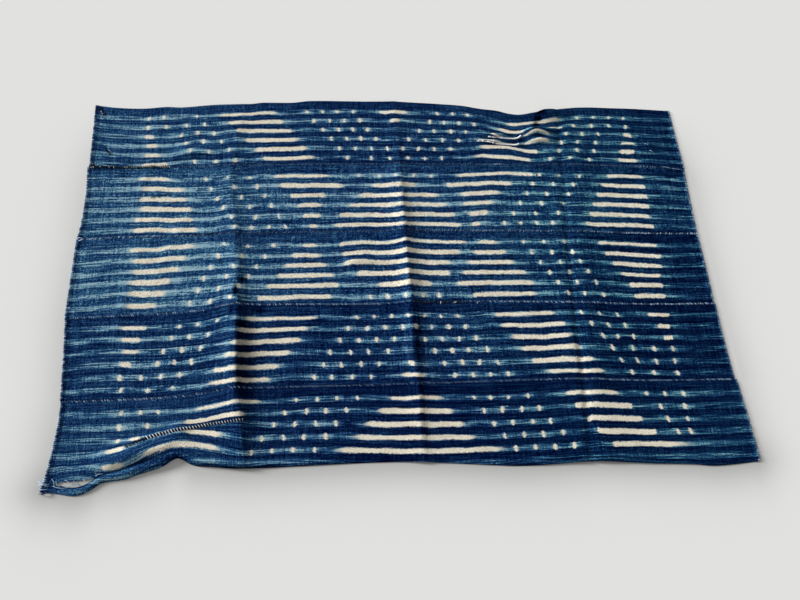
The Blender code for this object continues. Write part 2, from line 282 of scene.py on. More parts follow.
# %% Waves and faint fold lines
WAVES = (                                 # wavelength along x and y in mm, height in mm, phase
    (310, 0, 0.30, 0.4),
    (170, 240, 0.35, 1.9),
    (-120, 150, 0.25, 3.1),
    (75, -260, 0.18, 5.0),
    (62, 88, 0.12, 2.2),
)
FAINT_LINES = (                           # from x, y to x, y in mm, height, half width
    (-655, 120, -575, 410, 1.6, 9),
    (-600, -70, -480, 250, 1.5, 10),
    (-662, -190, -625, 40, 1.4, 8),
    (-560, -300, -500, -110, 1.2, 9),
    (-640, -330, -590, -200, 1.3, 9),
    (150, -250, 330, -40, 0.9, 12),
    (560, -250, 640, 60, 0.9, 10),
    (500, 180, 620, 330, 0.9, 10),
)
WAVES_LEFT = ((690, 745), (1.0, 0.25))    # x in mm, and how much of these heights is left there


def wave_height(x, y):
    """How high the long waves and the faint old fold lines lift the cloth."""
    height = np.zeros_like(x)
    for length_x, length_y, rise, phase in WAVES:
        turns = x / (length_x * MM)
        if length_y:
            turns = turns + y / (length_y * MM)
        height += rise * MM * (1 + np.sin(2 * math.pi * turns + phase)) / 2
    for row in FAINT_LINES:
        from_x, from_y, to_x, to_y, rise, reach = np.array(row) * MM
        run_x, run_y = to_x - from_x, to_y - from_y
        length = math.hypot(run_x, run_y)
        along = ((x - from_x) * run_x + (y - from_y) * run_y) / length ** 2
        aside = ((x - from_x) * run_y - (y - from_y) * run_x) / length
        height += rise * np.exp(-(aside / reach) ** 2) * hill(along - 0.5, 0.5, 0.5)
    return height


def cloth_height(strip, x, y):
    """Height of the cloth's underside at a place in the plan."""
    height = crease_height(x, y) + ruck_height(x, y)
    if strip == 5:
        height = height + hem_height(x, y - border(5, x))
    return np.maximum(height, 0.0) + wave_height(x, y) * np.interp(x / MM, *WAVES_LEFT)


sample = cloth_height(3, np.array([-0.395]), np.array([-0.05]))
print("leaning ridge in strip 3:", round(float(sample[0]) / MM, 1), "mm high")

# %% [markdown]
# The resist rows. Each strip has five or six rows, at fixed distances from its far border. A row
# is a chain of cream bars and dots on a faint pale line. Along the cloth the bars and dots form
# nested diamonds, because each field steps sideways by about 20 mm from one row to the next. So
# the chart names fields, not spots: a field lives in some rows of a strip, and its ends move
# steadily from its first row to its last.

# %% Chart of the rows
ROW_PLACES = {                            # distances from the far border in mm
    1: (33, 60.5, 88, 115.5, 143, 170.5),
    2: (33, 61, 90, 117, 146, 173),
    3: (32, 61, 89, 116, 143, 172),
    4: (32, 57, 84, 111, 141, 169),
    5: (30, 59, 89, 118, 147, 174),       # its sixth row lies in the hem, and holds no marks
}
BAR = 0
FIELDS = {                                # first row, last row, dots (0 is a bar), then in mm:
    1: (                                  # left end in first and last row, right end likewise,
        (1, 1, 2, -620, -585), (1, 1, 1, -505, -505), (2, 2, 4, -620, -485),
        (3, 6, BAR, -625, -627, -602, -570), (3, 6, 3, -540, -502, -462, -404),
        (1, 6, BAR, -450, -342, -305, -208), (1, 4, 4, -230, -168, -112, -57), (5, 5, 8, -150, 133),
        (6, 6, 1, -130, -130), (6, 6, 5, -70, 110), (1, 2, BAR, -45, -20, 30, 10),
        (1, 1, 3, 108, 190), (2, 4, 4, 85, 30, 203, 157), (1, 1, BAR, 290, 440),
        (2, 2, BAR, 262, 338), (5, 6, BAR, 210, 187, 365, 345), (1, 2, 4, 487, 472, 617, 617),
        (3, 4, 3, 447, 430, 538, 524), (5, 5, 3, 420, 514), (6, 6, 3, 395, 497),
        (3, 6, BAR, 605, 575, 628, 632),
    ),
    2: (                                  # or each end once where it stays
        (1, 1, BAR, -630, -550), (2, 6, BAR, -627, -638, -518, -488),
        (1, 5, 3, -475, -413, -370, -298), (6, 6, 4, -402, -285),
        (1, 2, BAR, -315, -295, -180, -140), (3, 6, BAR, -275, -228, -183, -205),
        (1, 1, 5, -102, 77), (2, 2, BAR, -80, 42), (3, 6, BAR, -115, -178, 100, 140),
        (1, 2, BAR, 140, 117, 345, 285), (3, 6, BAR, 142, 165, 255, 190),
        (1, 5, 3, 357, 277, 460, 390), (6, 6, 4, 250, 372), (1, 6, BAR, 533, 455, 632, 632),
    ),
    3: (
        (1, 6, BAR, -637, -640, -490, -565), (1, 6, 3, -425, -495, -313, -407),
        (1, 5, BAR, -248, -328, -207, -163), (6, 6, BAR, -345, -180),
        (1, 3, BAR, -160, -150, 155, 115), (4, 5, BAR, -117, -75, 100, 55), (6, 6, 5, -90, 72),
        (1, 5, BAR, 170, 112, 225, 305), (6, 6, BAR, 150, 308), (1, 6, 3, 290, 380, 395, 467),
        (1, 6, BAR, 480, 548, 630, 622),
    ),
    4: (
        (1, 4, BAR, -645, -636, -583, -613), (1, 4, 3, -519, -558, -432, -487),
        (5, 5, 4, -632, -507), (6, 6, 3, -627, -522), (1, 6, BAR, -375, -453, -205, -315),
        (1, 1, 7, -122, 107), (2, 6, 4, -143, -222, -20, -98), (2, 6, 4, 8, 90, 125, 212),
        (5, 6, BAR, -15, -30, 0, 22), (1, 4, BAR, 195, 240, 345, 395),
        (5, 6, BAR, 270, 293, 417, 440), (1, 3, 3, 405, 447, 493, 523),
        (4, 5, 4, 467, 480, 615, 610), (6, 6, 3, 502, 612), (1, 3, BAR, 570, 600, 617, 617),
    ),
    5: (
        (1, 1, 3, -625, -550), (2, 2, 2, -625, -567), (3, 3, 1, -627, -627),
        (1, 2, BAR, -475, -497, -335, -370), (3, 3, BAR, -606, -581), (4, 4, BAR, -650, -605),
        (4, 4, BAR, -495, -410), (5, 5, BAR, -650, -610), (5, 5, BAR, -575, -418),
        (1, 4, 4, -260, -333, -130, -202), (5, 5, 4, -355, -225), (1, 4, BAR, -60, -145, 60, 125),
        (5, 5, BAR, -186, 186), (1, 5, 4, 127, 207, 250, 340), (1, 4, BAR, 335, 400, 463, 530),
        (5, 5, BAR, 425, 620), (1, 1, 3, 530, 615), (2, 4, 2, 552, 582, 610, 612),
    ),
}
NARROW_BARS = (                           # strip, row, left and right in mm, thickness in mm
    (1, 2, 398, 445, 3.5),
    (1, 3, 236, 325, 4.6),
    (1, 3, 328, 405, 6.0),
    (1, 4, 206, 318, 4.6),
    (1, 4, 328, 400, 6.4),
)
LONG_TAILS = (                            # strip, row, left end of the field's first bar in mm,
    (5, 5, 425, 1, 65, 150),              # side (0 left, 1 right), tip and reach in mm
    (5, 3, -60, 0, 26, 60),
    (5, 4, -60, 0, 32, 70),
    (5, 5, -186, 0, 38, 90),
    (5, 5, -186, 1, 42, 80),
)
BAR_SHARES = {                            # strip, row, left end: how thick against its neighbours
    (5, 2, -475): 1.40,
    (5, 4, -495): 1.25,
    (5, 5, -575): 0.80,
    (5, 5, -650): 0.85,
    (1, 4, 605): 0.65,
}
DOT_HALF_WIDTH = 5.2 * MM
THICK = {1: 8.0, 6: 9.4}                  # thickness of a bar in the first and sixth rows, mm
USUAL_THICK = 10.6
THICKER_AT = (-600, -100, 500)            # x in mm of the shares below
THICKER = {1: (1.00, 1.00, 1.00), 2: (1.06, 0.96, 0.97), 3: (1.08, 1.02, 0.97),
           4: (0.92, 0.91, 0.95), 5: (0.91, 0.91, 1.02)}

TIPS, RIGHT_TIPS = (6, 26), (3, 12)       # shortest and longest tip of a bar, in mm
BAR_BLEED, DOT_BLEED = (20, 65), (8, 20)  # least and most reach of the bleed, in mm
TIP_SHARE = 0.35                          # the most of a bar that one tip takes up
STRIP_5_BLEED = 2.4                       # how much further strip 5's dots bleed
RIGHT_FROM = 350 * MM                     # from here on tips are short, and the near dots lean
NARROW_TIP, NARROW_BLEED = 9, 20          # of a narrow bar, in mm

# %% Marks of a strip
rng = np.random.default_rng(11)


def bar_mark(strip, row, field_left, left, right, half):
    """One bar, a little uneven, in the form that row_marks gives."""
    half *= rng.uniform(0.90, 1.08) * np.interp(left / MM, THICKER_AT, THICKER[strip])
    half *= BAR_SHARES.get((strip, row, field_left), 1.0)
    left += rng.normal(-3 * MM, 2 * MM)
    right += rng.normal(3 * MM, 2 * MM)
    tip_range = RIGHT_TIPS if left > RIGHT_FROM else TIPS
    tips = np.minimum(rng.uniform(*tip_range, 2) * MM, TIP_SHARE * (right - left))
    reaches = rng.uniform(*BAR_BLEED, 2) * MM
    for *bar, side, tip, reach in LONG_TAILS:
        if bar == [strip, row, field_left]:
            tips[side], reaches[side] = tip * MM, reach * MM
    leans = rng.normal((0.3, 0.8), 1.3) * MM
    return row, (left + right) / 2, (right - left) / 2, half, *tips, *reaches, *leans


def dot_mark(strip, row, place, half):
    """One dot, a little uneven, in the form that row_marks gives."""
    place += rng.normal(0, 1.2 * MM)
    wide = DOT_HALF_WIDTH * rng.uniform(0.95, 1.50)
    tall = half * rng.uniform(1.00, 1.30)
    reaches = rng.uniform(*DOT_BLEED, 2) * (STRIP_5_BLEED if strip == 5 else 1.0) * MM
    lean = rng.normal(2.2 if strip > 3 and place > RIGHT_FROM else 0.2, 1.0) * MM
    return row, place, wide, tall, wide, wide, *reaches, -lean, lean


def row_marks(strip):
    """Each bar and dot of a strip, as its row, middle, half length and half thickness, then its
    tip, the reach of its bleed and how far it leans nearwards, each on its left and right."""
    marks = []
    for first, last, dots, *ends in FIELDS[strip]:
        left_first, left_last, right_first, right_last = ends if len(ends) == 4 else np.repeat(ends, 2)
        for row in range(first, last + 1):
            share = (row - first) / max(last - first, 1)
            left = (left_first + (left_last - left_first) * share) * MM
            right = (right_first + (right_last - right_first) * share) * MM
            half = THICK.get(row, USUAL_THICK) / 2 * MM
            if dots == BAR:
                marks.append(bar_mark(strip, row, left_first, left, right, half))
            else:
                marks += [dot_mark(strip, row, place, half) for place in np.linspace(left, right, dots)]
    for narrow_strip, row, left, right, thick in NARROW_BARS:
        if narrow_strip == strip:
            sizes = ((left + right) / 2, (right - left) / 2, thick / 2, NARROW_TIP, NARROW_TIP,
                     NARROW_BLEED, NARROW_BLEED)
            marks.append((row, *(np.array(sizes) * MM), 0.0, 0.0))
    return marks


MARKS = {strip: row_marks(strip) for strip in FIELDS}
print("bars and dots:", {strip: len(marks) for strip, marks in MARKS.items()})

# %% [markdown]
# The rows don't run straight. Old stitching and handling pull them about by a few millimetres, so
# each strip has a table of sways: at a place along it, how far its first, middle and last rows
# have moved towards the far border. Where the cloth is drawn up or mended, some rows are pushed
# further. A sway only slides the dye on the cloth, so it costs no mesh.

# %% Sways of the rows
SWAYS = {                                 # x, then the sway of the first, middle and last rows, mm
    1: ((-760, 0, 4, 1), (-660, 2, 4, 4), (-580, 0, -2, -1), (-540, 3, 4, 5), (-500, 1, 6, 4),
        (-460, -1, 0, -1), (-420, -1, 5, -1), (-380, 1, 5, 1), (-330, 0, 1, 0), (-270, 1, 1, 1),
        (-190, -2, -2, -4), (-100, 0, -1, -4), (-20, -1, -2, -6), (60, 0, -1, -2), (110, 1, 1, 0),
        (150, 3, 3, 5), (185, 5, 6, 8), (225, 1, 5, 6), (270, -7, 0, 3), (340, -4, -1, -1),
        (390, -6, -4, -2), (430, -3, 0, 0), (470, -1, 2, 4), (510, 0, 2, 5), (600, 0, 2, 3),
        (660, -2, 1, 5), (760, 1, 3, 2)),
    2: ((-760, -2, 0, -4), (-660, -3, 0, 1), (-590, 0, 1, 2), (-540, -4, -2, -1),
        (-500, -6, -4, -2), (-460, -7, -6, -6), (-420, -6, -3, -1), (-380, -5, -2, -3),
        (-330, -2, 1, -1), (-200, -1, 0, -1), (-60, -1, -1, 1), (-10, -3, -3, -2), (30, -2, -1, 1),
        (100, -3, -1, -1), (150, -1, 1, -2), (190, 1, 3, 2), (230, 3, 6, 0), (270, 5, 3, 3),
        (340, 2, 3, 1), (450, -3, 0, -1), (580, 1, 0, -3), (620, 0, -1, -5), (760, -1, -2, -2)),
    3: ((-760, -2, -3, -3), (-660, -3, 0, -3), (-580, -3, -1, -2), (-540, 3, 3, 0),
        (-460, 5, 4, 2), (-420, 3, 2, 6), (-380, -4, 1, 5), (-300, -2, 2, 4), (-180, -4, 2, 4),
        (-140, -1, 5, 0), (-100, 2, 6, 1), (-30, 0, 3, 0), (20, 5, 6, 0), (60, 2, 3, 1),
        (150, 0, 3, 1), (300, 1, 3, 4), (370, 3, 2, 4), (420, 2, 5, 3), (500, 1, 3, 1),
        (620, -1, -1, 0), (760, -1, 1, 1)),
    4: ((-760, 6, -1, 1), (-660, 4, 1, 1), (-590, 0, -4, -4), (-460, -1, -5, -4),
        (-410, -2, -8, -9), (-360, -3, -8, -8), (-260, -2, -2, -3), (-180, 0, -4, -4),
        (-60, 0, -4, -3), (40, -2, -7, -7), (140, -4, -7, -8), (190, -1, -5, -9),
        (240, 0, -5, -6), (300, 2, -4, -2), (350, 5, 0, 0), (430, 6, 1, 0), (490, 3, 0, -1),
        (540, 6, 0, -2), (620, 3, -2, -2), (760, 3, -2, -2)),
    5: ((-760, 1, 3, 5), (-640, 1, 2, 8), (-580, 1, 1, 0), (-460, -2, 0, 0), (-380, -1, 3, 6),
        (-300, -1, 6, 11), (-230, 1, 7, 9), (-150, 2, 6, 6), (-60, -1, 0, 1), (60, -4, -4, -3),
        (220, -7, -6, -4), (320, -4, -4, -4), (400, -1, -1, 0), (500, -1, -1, 1), (620, -2, -1, 0),
        (760, -2, 0, 1)),
}
# Pushed spots: strip, row, x, reach left and right in mm, how far the row is pushed
PUSHES = (
    (1, 2, 205, 50, 50, -4),
    (1, 2, 305, 60, 50, -6),
    (1, 3, 285, 70, 45, -8),
    (1, 4, 260, 60, 70, -4),
    (1, 5, 275, 80, 75, 11),
    (1, 3, 366, 50, 60, 16),
    (1, 4, 370, 50, 55, 10),
    (1, 6, 350, 60, 60, -3),
    (1, 4, -498, 30, 60, 3),
    (5, 3, -480, 110, 200, 20),
    (5, 4, -500, 170, 150, 42),
    (5, 5, -508, 130, 150, 46),
    (5, 6, -508, 130, 150, 30),
)
PUCKER = (170, 215, 455, 490)             # in mm: strip 1 is drawn in between these places
FULL_WIDTH = 191 * MM                     # its width where it isn't drawn in
ROW_PITCH = 28 * MM


def row_lines(strip, x):
    """How far each row lies from the far border at some places, and how drawn in the rows are."""
    drawn_in = np.interp(x / MM, PUCKER, (0, 1, 1, 0)) * (strip == 1)
    squeeze = 1 + (strip_width(strip, x) / FULL_WIDTH - 1) * drawn_in
    places, *sways = np.array(SWAYS[strip], float).T * MM
    first, middle, last = [smooth_line(places, sway, x) for sway in sways]
    last_marked = max(field[1] for field in FIELDS[strip])
    lines = []
    for row, row_place in enumerate(ROW_PLACES[strip], 1):
        share = min((row - 1) / (last_marked - 1), 1.0)
        sway = first * (1 - share) * (1 - 2 * share) + 4 * middle * share * (1 - share)
        sway = sway + last * share * (2 * share - 1)
        for pushed_strip, pushed_row, push_x, left, right_reach, amount in PUSHES:
            if (pushed_strip, pushed_row) == (strip, row):
                sway = sway + amount * MM * hill(x - push_x * MM, left * MM, right_reach * MM)
        lines.append(row_place * MM * squeeze - sway)
    return lines, squeeze


def dye_place(strip, x, across):
    """A point's row, counted smoothly, and how far from the far border it lay when it was dyed."""
    distance = strip_width(strip, x) * across
    lines, squeeze = row_lines(strip, x)
    places = np.array(ROW_PLACES[strip]) * MM
    place = places[0] + (distance - lines[0]) / squeeze
    row = 1 + (place - places[0]) / ROW_PITCH
    for index in range(len(places) - 1):
        share = (distance - lines[index]) / (lines[index + 1] - lines[index])
        inside = (share >= 0) & (share < 1)
        row = np.where(inside, index + 1 + share, row)
        place = np.where(inside, places[index] + (places[index + 1] - places[index]) * share, place)
    beyond = (distance - lines[-1]) / squeeze
    row = np.where(beyond >= 0, len(places) + beyond / ROW_PITCH, row)
    place = np.where(beyond >= 0, places[-1] + beyond, place)
    return np.clip(row, 0.5, len(places) + 0.5), place


pucker_rows = [round(float(line) / MM) for line in row_lines(1, 300 * MM)[0]]
print("in the pucker, strip 1's rows lie", pucker_rows, "mm from its far border")

# %% [markdown]
# A strip's sheet. A fine grid is laid on the underside of the cloth's shape, given the facts that
# its dye needs, and thickened upwards with Solidify. The facts are numbers on the vertices: which
# row a vertex lies in, counted smoothly, how far along it is from the middle of the nearest bar or
# dot, and how long and thick that mark is. The shader turns these smooth numbers into crisp marks,
# so a 3 mm grid can carry edges that stay sharp in a close view.

# %% Grid and dye facts
COLUMN_PITCH = 3.5 * MM
CLOSE_COLUMNS = (0.0, 1.0, 2.5, 4.5, 6.5, 8.2, 9.2, 10.6, 13.0)     # mm in from each end
EVEN_FROM = 16 * MM                       # from here on the columns are a pitch apart
PLAIN_ROWS, PUCKER_ROWS = 62, 76
HEM_ROWS = (38, 14, 8, 5, 5)              # across the strip, then ruck, valley, roll and edge
TEAR_FROM, TEAR_TO = -741 * MM, -664 * MM
TEAR_OPENING = 13 * MM
TEAR_DRAG = 45 * MM                       # how far in the tear draws the cloth
TEAR_ROW = sum(HEM_ROWS[:3])              # this row of strip 5 is doubled, so that it can part
SEAM_LAP = 0.1 * MM                       # neighbours just meet, so no floor shows between them
TURNED_UP = 10 * MM                       # selvedge turned up along the near hem, and where
TURNED_UP_STOPS = np.array((235, 270, 600, 640)) * MM
FAR_AWAY = 200 * MM                       # how far off a mark counts where a row has none
LEAN_RUN = 14 * MM                        # over this much of a mark's end its lean grows
LEAN_KEPT = 8 * MM                        # so far past the end it stays, and fades over as much again


def column_shares():
    """Shares of the way along a strip at which its columns lie, closer together at the end hems."""
    close = np.array(CLOSE_COLUMNS) * MM
    count = round((STRIP_LENGTH - 2 * EVEN_FROM) / COLUMN_PITCH)
    middle = np.linspace(EVEN_FROM, STRIP_LENGTH - EVEN_FROM, count)
    return np.concatenate((close, middle, STRIP_LENGTH - close[::-1])) / STRIP_LENGTH


def row_shares(strip, x):
    """Shares of the way across a strip at which its rows lie, for columns at x."""
    if strip < 5:
        rows = PUCKER_ROWS if strip == 1 else PLAIN_ROWS
        return np.repeat(np.linspace(0, 1, rows + 1)[:, None], len(x), axis=1)
    width = strip_width(5, x)
    roll_in, _, valley_in, _, ruck_in, _, rest_in = hem_sizes(x)
    marks = (width, rest_in, ruck_in, valley_in, roll_in, np.zeros_like(x))
    inwards = []
    for outer, inner, rows in zip(marks, marks[1:], HEM_ROWS):
        inwards += [outer + (inner - outer) * step / rows for step in range(rows)]
    inwards.append(marks[-1])
    inwards.insert(TEAR_ROW, inwards[TEAR_ROW])
    return 1 - np.array(inwards) / width


def lay_grid(strip):
    """Plan places, heights and shares across of a strip's grid, rows first."""
    columns = column_shares()
    across = row_shares(strip, STRIP_LENGTH * (columns - 0.5))
    left, right_end = end_places(strip, across)
    x = left + (right_end - left) * columns
    far, near = border(strip - 1, x), border(strip, x)
    if strip > 1:
        far = far + SEAM_LAP / 2
    if strip < 5:
        near = near - SEAM_LAP / 2
    y = far + (near - far) * across
    z = cloth_height(strip, x, y)
    if strip == 5:
        open_share = np.clip((x - TEAR_FROM) / (TEAR_TO - TEAR_FROM), 0, 1)
        opening = TEAR_OPENING * np.sin(math.pi * open_share) ** 0.7
        past = np.clip((y - y[TEAR_ROW]) / TEAR_DRAG, 0, 1)
        on_inner_side = np.arange(len(x))[:, None] <= TEAR_ROW
        y = y + opening * (1 - past) ** 1.5 * on_inner_side
    return x, y, z, across


def mark_facts(strip, x, row):
    """For each point, facts of the mark that lies nearest along its own row."""
    nearest = np.clip(np.rint(row), 1, len(ROW_PLACES[strip]))
    names = ("outside", "from_mark", "half_length", "half", "tip", "reach", "lean")
    facts = {name: np.full(x.shape, 10 * MM) for name in names}
    for name, far_off in (("outside", FAR_AWAY), ("from_mark", FAR_AWAY), ("lean", 0.0)):
        facts[name][:] = far_off
    for mark_row, middle, length, half, *sides in MARKS[strip]:
        aside = x - middle
        distance = np.abs(aside) - length
        nearer = (nearest == mark_row) & (distance < facts["outside"])
        tip, reach, lean = [np.where(aside > 0, sides[place + 1], sides[place]) for place in (0, 2, 4)]
        run = np.minimum(length, LEAN_RUN)
        lean = lean * np.clip(1 + distance / run, 0, 1) * np.clip(2 - distance / LEAN_KEPT, 0, 1)
        for name, values in zip(names, (distance, aside, length, half, tip, reach, lean)):
            facts[name][nearer] = np.broadcast_to(values, x.shape)[nearer]
    return facts


print("columns:", len(column_shares()), "rows:", [len(lay_grid(strip)[0]) for strip in ENDS])

# %% [markdown]
# Old dye isn't even. The left third of this cloth is paler, and the right and near parts are
# deeper, partly because each strip came from another bath and partly as painted light, which is
# brighter towards the left, where the sun comes from. So every strip has a smooth line of tones
# along it, where 0 is the deepest dye and 1 the palest bleed. A few soft patches are added where
# the cloth is rubbed or stained, and a few are painted highlights on the sunlit flanks of the
# ridges and on the crest of the near hem's roll. Sharp folds hold more shade than a 3 mm grid can
# cast, so a second table says where painted shade darkens the cloth.

# %% Tones of the ground
# Tones along each strip: partly the dye's own depth, partly painted light that is paler towards the sunlit
# left
GROUND_TONES_AND_LIGHT = {                          # x in mm, tone
    1: ((-760, 0.49), (-550, 0.51), (-400, 0.44), (0, 0.34), (250, 0.37), (560, 0.35), (660, 0.26),
        (760, 0.25)),
    2: ((-760, 0.57), (-500, 0.60), (-300, 0.48), (0, 0.45), (300, 0.41), (550, 0.34), (760, 0.28)),
    3: ((-760, 0.56), (-500, 0.59), (-300, 0.49), (0, 0.45), (300, 0.38), (550, 0.26), (760, 0.20)),
    4: ((-760, 0.40), (-550, 0.40), (-350, 0.33), (0, 0.28), (130, 0.34),
        (300, 0.28), (500, 0.21), (760, 0.16)),
    5: ((-760, 0.44), (-550, 0.47), (-350, 0.30), (0, 0.20), (300, 0.21), (760, 0.24)),
}
PATCHES_AND_HIGHLIGHTS = (                               # x, y, reach along and across in mm, how much paler
    # The first four are painted highlights on the sunlit left flanks of the leaning ridge and the sharp
    # peak
    (-412, -175, 14, 90, 0.07),
    (-410, 10, 14, 80, 0.08),
    (-12, -175, 10, 90, 0.13),
    (-10, 10, 10, 80, 0.08),
    (-560, 20, 90, 60, 0.06),
    (-150, 180, 120, 40, 0.05),
    (190, 130, 90, 50, 0.06),
    (500, 160, 50, 50, 0.15),
    (30, 330, 200, 30, -0.05),
    (600, -455, 180, 12, 0.15),
    # These two are painted highlights on the crest of the near hem's roll, where the sun catches it
    (-700, -468, 70, 12, 0.24),
    (-600, -437, 80, 12, 0.27),
)
# A painted highlight along the crest of the near hem's roll
HEM_CREST_HIGHLIGHT = 0.36                          # how much paler the crest of the hem's roll is
FLAP_PALER = 0.20                         # and the turned-up selvedge

# Places where a fold holds shade: x, y, reach left and right, reach across in mm, how deep
FOLD_SHADES = (
    (389, 463, 20, 18, 22, 1.25),
    (380, 443, 17, 16, 20, 1.25),
    (371, 426, 14, 12, 18, 1.20),
    (363, 410, 12, 10, 12, 0.95),
    (431, 403, 9, 10, 9, 0.55),
    (322, 375, 9, 14, 8, 0.85),
    (328, 357, 11, 15, 8, 0.75),
    (-386, -200, 8, 50, 180, 0.88),
    (-396, -40, 9, 9, 26, 1.35),
    (-384, -12, 14, 17, 16, 1.00),
    (-384, -124, 13, 22, 20, 1.15),
    (-403, -88, 9, 7, 30, 0.50),
    (-432, 36, 7, 8, 14, 0.60),
    (-345, -86, 26, 26, 14, 0.60),
    (4, -175, 6, 25, 110, 0.72),
    (7, -290, 5, 15, 60, 0.55),
    (7, -370, 5, 14, 70, 0.62),
    (4, 10, 5, 14, 100, 0.25),
)
VALLEY_SHADE, VALLEY_HALF = 0.65, 3.5 * MM    # the shade along the valley beside the hem's roll
EDGE_SHADE, EDGE_FADE = 0.55, 3           # under the hem's edge, and mm over which it fades
FLAP_SHADE, FLAP_HALF = 0.70, 1.8 * MM    # along the turned-up selvedge
FLAP_LINE = 8.2 * MM                      # how far in that selvedge ends, seen from above


def flap_share(x):
    """Where the near selvedge is turned up, 1 along its full stretch."""
    return np.interp(x, TURNED_UP_STOPS, (0.0, 1.0, 1.0, 0.0))


def fold_shade(strip, x, y):
    """How deep the shade in the folds is."""
    total = np.zeros_like(x)
    for row in FOLD_SHADES:
        shade_x, shade_y, left, right_reach, across = np.array(row[:5]) * MM
        shade = row[5] * hill(x - shade_x, left, right_reach) * hill(y - shade_y, across, across)
        total = np.maximum(total, shade)
    if strip < 5:
        return total
    inwards = y - border(5, x)
    valley = VALLEY_SHADE * np.exp(-((inwards - hem_sizes(x)[2]) / VALLEY_HALF) ** 2)
    valley = valley * np.interp(x / MM, (-560, -520), (1, 0))
    edge_in = np.interp(x / MM, (-480, -440, -380, -340), (2, 5, 5, 2))
    edge = EDGE_SHADE * np.clip(1 - (inwards / MM - edge_in) / EDGE_FADE, 0, 1)
    edge = edge * np.interp(x / MM, (-700, -650, -150, -80), (0, 1, 1, 0))
    flap = FLAP_SHADE * np.exp(-((inwards - FLAP_LINE) / FLAP_HALF) ** 2) * flap_share(x)
    return np.maximum.reduce((total, valley, edge, flap))


def ground_tone_and_light(strip, x, y):
    """How pale the dye between the rows is, partly its own tone and partly painted light and highlights."""
    total = stops_line(GROUND_TONES_AND_LIGHT[strip], x, 1)
    for patch_x, patch_y, along, aside, amount in PATCHES_AND_HIGHLIGHTS:
        distance = ((x / MM - patch_x) / along) ** 2 + ((y / MM - patch_y) / aside) ** 2
        total = total + amount * np.exp(-distance)
    if strip == 5:
        inwards = (y - border(5, x)) / MM
        total = total + FLAP_PALER * flap_share(x) * np.interp(inwards, (4.5, 7), (1, 0))
        # Painted highlight along the crest of the hem's roll
        crest_highlight = HEM_CREST_HIGHLIGHT * np.exp(-((inwards - 12) / 5) ** 2)
        total = total + crest_highlight * np.interp(x / MM, (-500, -460, -300, -180), (0, 1, 1, 0))
    return total


ends_and_middle = np.array((-0.7, 0.0, 0.7))
print("tones along strip 2:", ground_tone_and_light(2, ends_and_middle, np.full(3, 0.2)).round(2))

# %% [markdown]
# Shape and facts now come together in one mesh for each strip. The facts are stored on its
# vertices as attributes, which Solidify carries over to the thickened cloth, and which the material
# reads by their names.

# %% Sheet of a strip
ROUNDED_SIDE = ((0, 2.6 * MM), (0.55, 1.0))   # distance in from a side, and share of the thickness
ROUNDED_END = ((0, 6 * MM), (0.30, 1.0))
STRIP_SHIFT = 0.37                        # sets the yarn of each strip apart from the others'


def grid_mesh(name, columns, rows):
    """A flat mesh from -1 to 1, with so many faces along and across."""
    grid = bmesh.new()
    bmesh.ops.create_grid(grid, x_segments=columns, y_segments=rows, size=1.0)
    mesh = bpy.data.meshes.new(name)
    grid.to_mesh(mesh)
    grid.free()
    return mesh


def read_values(items, field, size=1, kind=np.float32):
    """A field of all vertices, corners or faces as an array."""
    values = np.zeros(len(items) * size, kind)
    items.foreach_get(field, values)
    return values if size == 1 else values.reshape(-1, size)


def store_values(items, field, values):
    """Set a field of all vertices or corners from an array."""
    items.foreach_set(field, np.ascontiguousarray(values, np.float32).ravel())


def point_values(mesh, name, values, kind="FLOAT"):
    """Store one value for each vertex."""
    attribute = mesh.attributes.new(name, kind, "POINT")
    store_values(attribute.data, "value" if kind == "FLOAT" else "vector", values)


def part_tear(mesh, row):
    """Take out the closed gap between the doubled rows, and close it again outside the tear."""
    cloth = bmesh.new()
    cloth.from_mesh(mesh)
    cloth.verts.ensure_lookup_table()
    doubled = [cloth.verts[index] for index in np.flatnonzero((row == TEAR_ROW) | (row == TEAR_ROW + 1))]
    in_doubled = set(doubled)
    gap = [face for face in cloth.faces if all(vertex in in_doubled for vertex in face.verts)]
    bmesh.ops.delete(cloth, geom=gap, context="FACES_ONLY")
    bmesh.ops.remove_doubles(cloth, verts=doubled, dist=0.01 * MM)
    cloth.to_mesh(mesh)
    cloth.free()


